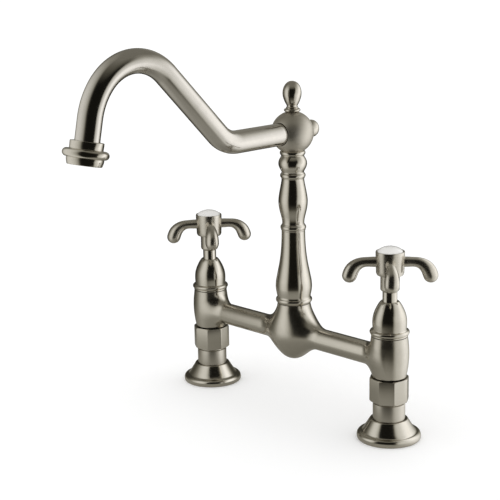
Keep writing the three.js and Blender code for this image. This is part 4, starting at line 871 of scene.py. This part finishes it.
column = spin_outline("column", [
    (10.4, 72.4), (10.7, 72.8), (10.7, 90.9), (13.3, 90.9), (13.9, 91.15), (14.0, 91.6),
    *bead(13.8, 1.2, 91.7, 95.2, 12)[1:-1], (13.95, 95.3), (13.95, 95.8), (13.75, 96.1),
    *curve_through([
        (13.85, 97.2), (14.45, 100.2), (14.88, 103.2), (14.95, 105.6), (14.65, 109.4), (13.85, 113.7),
        (12.95, 118.2), (12.1, 122.4), (11.4, 126.4), (10.8, 130.7), (10.35, 135.0), (10.0, 139.4),
        (9.75, 144.4), (9.65, 149.0), (9.62, 151.7),
    ], 3),
    (9.95, 152.0), (9.95, 152.5), *bead(9.6, 0.9, 152.7, 156.0, 10)[1:-1], (9.6, 156.25), (9.6, 156.6),
    *curve_through([
        (9.05, 157.1), (9.1, 159.8), (9.75, 163.2), (10.7, 167.0), (11.5, 170.8), (11.92, 174.8), (11.85, 177.8),
        (11.4, 181.2), (10.7, 185.2), (9.95, 189.0), (9.35, 192.4), (9.1, 194.5),
    ], 3),
    (9.5, 194.8), (9.5, 195.2), *bead(9.3, 1.0, 195.4, 198.8, 10)[1:-1], (9.3, 199.05), (9.2, 199.4),
    *curve_through([
        (8.95, 199.8), (9.5, 201.0), (10.55, 202.9), (11.3, 204.8), (11.6, 206.7), (11.35, 208.7), (10.6, 210.6),
        (9.5, 212.4), (9.0, 213.1),
    ], 4),
    (9.5, 213.35), (9.5, 213.7), *bead(9.35, 1.0, 213.9, 217.1, 10)[1:-1], (9.35, 217.35), (9.2, 217.7),
    (7.6, 217.7), (7.6, 223.2), (6, 223.2), (6, 72.4), (10.4, 72.4),
], sides=128)
break_edges(column, 0.12, 2)
column_nickel = brushed("column_nickel", NICKEL, 0.14)
fit(column, column_nickel, "spout", "spout_column")

# ------------------------------------------------------------------------------------------------
# The ball, finial and rear plug: the ball joins the column to the spout tube, which is brazed into
# a socket in its side. The finial screws into its top, and a domed plug closes it behind.

BALL_Z = 231.7
BALL_R = 17.2
BALL_FOOT_Z = 218.0
BALL_TOP_Z = 248.03
BALL_CUTS = 56
SOCKET_R = 9.3
PLUG_Z = BALL_Z + 0.8
PLUG_SEAT_R = 5.9
PLUG_GAP = 0.3

low, high = (asin((z - BALL_Z) / BALL_R) for z in (BALL_FOOT_Z, BALL_TOP_Z))
ball_angles = [low + (high - low) * cut / BALL_CUTS for cut in range(BALL_CUTS + 1)]
ball = spin_outline("ball", [
    (0, BALL_FOOT_Z), *[(BALL_R * cos(a), BALL_Z + BALL_R * sin(a)) for a in ball_angles], (0, BALL_TOP_Z),
], sides=128)
cut_with(ball, add_rod(SOCKET_R, 12, (0, -16.8, BALL_Z), along="Y", sides=96), "DIFFERENCE")
break_edges(ball, 0.3)
ball_nickel = brushed("ball_nickel", NICKEL, 0.48, centre=(0, 0, BALL_Z / 1000), grain=(240, 240, 1400), depth=0.16)
fit(ball, ball_nickel, "spout", "spout_ball")

finial = spin_outline("top_finial", [
    (0, 242.4), (3, 242.4), (3, 248.33), (5.4, 248.33), *bead(5.2, 1.45, 248.5, 251.1, 12)[1:-1],
    (4.9, 251.15), *bead(4.5, 0.5, 251.3, 252.3, 8)[1:-1],
    *curve_through([
        (4.25, 252.6), (4.45, 253.6), (5.15, 254.9), (6.1, 256.8), (6.85, 258.9), (7.4, 261.0), (7.58, 262.9),
        (7.5, 264.8), (7.1, 266.9), (6.2, 269.0), (4.9, 270.8), (3.2, 272.1), (1.5, 272.75), (0, 272.93),
    ], 4),
])
break_edges(finial, 0.08, 2)
fit(finial, column_nickel, "spout", "finial")

# The plug is spun upright, then laid back so that it points away from the tube
plug_base = sqrt(BALL_R ** 2 - PLUG_SEAT_R ** 2) + PLUG_GAP
plug = spin_outline("back_plug", [
    (0, plug_base - 4.5), (4, plug_base - 4.5), (4, plug_base),
    *curve_through([(r, plug_base + out) for r, out in [
        (6.1, 0), (6.35, 1.0), (6.85, 2.8), (7.1, 4.8), (7.0, 6.4), (6.4, 8.1), (5.2, 9.5), (3.5, 10.4),
        (1.7, 10.75), (0, 10.8),
    ]], 4),
])
plug.rotation_euler = (-pi / 2, 0, 0)
plug.location = (0, 0, PLUG_Z / 1000)
set_in_place(plug)
break_edges(plug, 0.1, 2)
plug_nickel = brushed("plug_nickel", NICKEL, 0.24, centre=(0, 0, PLUG_Z / 1000), tilt=-pi / 2)
fit(plug, plug_nickel, "spout", "rear_plug")

# ------------------------------------------------------------------------------------------------
# The spout tube: 18 mm brass tube, bent up out of the ball, over the crown and down to the outlet,
# brushed along its length and plated.

# Reaches are from the column's axis, and angles are in degrees. The tube starts level, rises, turns
# over the crown until it drops, and then turns down further in its leg.
TUBE_R = 8.99
TUBE_START = 11.16
RISE_CORNER = 73.8
RISE_BEND = 28.0
RISE_ANGLE = 45
CROWN_REACH = 159.8
CROWN_BEND = 40.0
CROWN_ANGLE = 93
LEG_BEND = 50.0
LEG_ANGLE = 30
END_LENGTH = 20.5
rise_slope = radians(RISE_ANGLE)
drop_slope = radians(CROWN_ANGLE - RISE_ANGLE)
end_slope = radians(CROWN_ANGLE - RISE_ANGLE + LEG_ANGLE)
rise_start = RISE_CORNER - RISE_BEND * tan(rise_slope / 2)
rise_end = rise_start + RISE_BEND * sin(rise_slope)
crown_z = BALL_Z + (CROWN_REACH - RISE_CORNER) - CROWN_BEND / cos(rise_slope)
diagonal = CROWN_REACH - CROWN_BEND * sin(rise_slope) - rise_end
leg_reach = CROWN_REACH - (LEG_BEND - CROWN_BEND) * sin(drop_slope)
leg_z = crown_z - (LEG_BEND - CROWN_BEND) * cos(drop_slope)

deselect_all()
bpy.ops.mesh.primitive_circle_add(
    vertices=64, radius=TUBE_R / 1000, fill_type="NGON", location=(0, -TUBE_START / 1000, BALL_Z / 1000),
    rotation=(pi / 2, 0, 0),
)
tube = bpy.context.object
tube.name = "spout_pipe"
set_in_place(tube)
bpy.ops.object.mode_set(mode="EDIT")
bpy.ops.mesh.select_all(action="SELECT")


def draw_out(distance, up, lengths):
    """Extrudes the tube's open end straight, away from the column and up, in so many lengths."""
    for _ in range(lengths):
        bpy.ops.mesh.extrude_region_move(TRANSFORM_OT_translate={
            "value": (0, -distance / lengths / 1000, up / lengths / 1000)})


def bend(distance, z, angle, steps):
    """Spins the tube's end about a centre beside it, upwards for a positive angle."""
    bpy.ops.mesh.spin(steps=steps, angle=radians(angle), center=(0, -distance / 1000, z / 1000), axis=(1, 0, 0))


draw_out(rise_start - TUBE_START, 0, lengths=6)
bend(rise_start, BALL_Z + RISE_BEND, RISE_ANGLE, steps=16)
draw_out(diagonal, diagonal, lengths=8)
bend(CROWN_REACH, crown_z, -CROWN_ANGLE, steps=40)
bend(leg_reach, leg_z, -LEG_ANGLE, steps=14)
draw_out(END_LENGTH * cos(end_slope), -END_LENGTH * sin(end_slope), lengths=4)
bpy.ops.mesh.select_all(action="SELECT")
bpy.ops.mesh.remove_doubles(threshold=SAME_POINT / 1000)
bpy.ops.mesh.normals_make_consistent(inside=False)
bpy.ops.object.mode_set(mode="OBJECT")
break_edges(tube, 0.35)
tube_nickel = brushed("tube_nickel", (0.63, 0.6, 0.55), 0.15, grain=(1500, 240, 240), depth=0.05)
fit(tube, tube_nickel, "spout", "spout_tube")

# ------------------------------------------------------------------------------------------------
# The outlet: a turned brass housing on the tube's end, with a large bead between a collar and a
# tapered lip. A white plastic aerator with rows of small holes sits in its mouth.

OUTLET_TILT = radians(-12)
OUTLET_PLACE = (0, -0.205538, 0.244783)
HOLE_R = 0.72
HOLE_PITCH = 1.9
HOLE_RINGS = (1, 2, 3, 4)


def tip_to_outlet(piece):
    """Moves a piece made upright at the middle of the outlet to its place on the tube's end."""
    piece.rotation_euler = (OUTLET_TILT, 0, 0)
    piece.location = OUTLET_PLACE
    set_in_place(piece)


housing = spin_outline("outlet_cap", [
    (9.7, -11.8), (12.0, -11.8), (12.35, -11.6), (12.75, -10.4), (13.15, -8.6), (13.3, -7.3), (13.1, -6.7),
    *bead(13.6, 2.9, -6.6, -0.7, 18)[1:-1], (12.3, -0.7), (11.85, -0.35), (11.95, 0.2), (12.05, 4.4),
    (11.8, 4.9), (9.3, 5.2), (9.3, -0.3), (7.2, -0.3), (7.2, -2.9), (9.7, -2.9), (9.7, -11.8),
], sides=128)
tip_to_outlet(housing)
break_edges(housing, 0.14)
outlet_nickel = brushed("outlet_nickel", NICKEL, 0.13, centre=OUTLET_PLACE, tilt=OUTLET_TILT)
fit(housing, outlet_nickel, "spout", "outlet_housing")

aerator = spin_outline("aerator", [
    (0, -4.5), (9.4, -4.5), (9.4, -11.0), (8.5, -11.0), (8.3, -10.2), (0, -10.2),
], sides=64)
# The middle hole's drill is copied to all the others, as rings of 6, 12, 18 and 24
drill = add_rod(HOLE_R, 5.5, (0, 0, -8.5), sides=6)
set_in_place(drill)
drill_points = len(drill.data.vertices)
bpy.ops.object.mode_set(mode="EDIT")
bpy.ops.mesh.select_all(action="SELECT")
for ring in HOLE_RINGS:
    for hole in range(6 * ring):
        angle = 2 * pi * hole / (6 * ring)
        across, back = ring * HOLE_PITCH * cos(angle), ring * HOLE_PITCH * sin(angle)
        bpy.ops.mesh.duplicate_move(TRANSFORM_OT_translate={"value": (across / 1000, back / 1000, 0)})
        bpy.ops.mesh.select_all(action="DESELECT")
        bpy.ops.object.mode_set(mode="OBJECT")
        for point in drill.data.vertices[:drill_points]:
            point.select = True
        bpy.ops.object.mode_set(mode="EDIT")
bpy.ops.object.mode_set(mode="OBJECT")
cut_with(aerator, drill, "DIFFERENCE")
tip_to_outlet(aerator)
bpy.ops.object.shade_smooth_by_angle(angle=radians(30))
white_plastic = moulded("white_plastic", (0.78, 0.78, 0.76), 0.38)
fit(aerator, white_plastic, "spout", "aerator_insert")

# ------------------------------------------------------------------------------------------------
# What the shells hide keeps its CAD form and gets its real material: the cartridges and stems in
# machined brass, lapped ceramic discs, stainless screws and rings, and the rubber seals.

bare_brass = brushed("bare_brass", (0.68, 0.48, 0.24), 0.28, grain=(300, 300, 2600))
valve_ceramic = moulded("valve_ceramic", (0.74, 0.71, 0.64), 0.26, grain=2200, depth=0.05)
finish_of = {
    "bare_brass": bare_brass, "valve_ceramic": valve_ceramic, "bare_steel": bare_steel,
    "black_rubber": black_rubber, "white_plastic": white_plastic, "white_porcelain": white_porcelain,
    "satin_nickel": column_nickel,
}
for subpart in frame["record"]["subparts"]:
    node = frame["nodes"][subpart["node"]]
    node.data.materials.clear()
    node.data.materials.append(finish_of[subpart["material_slot"]])
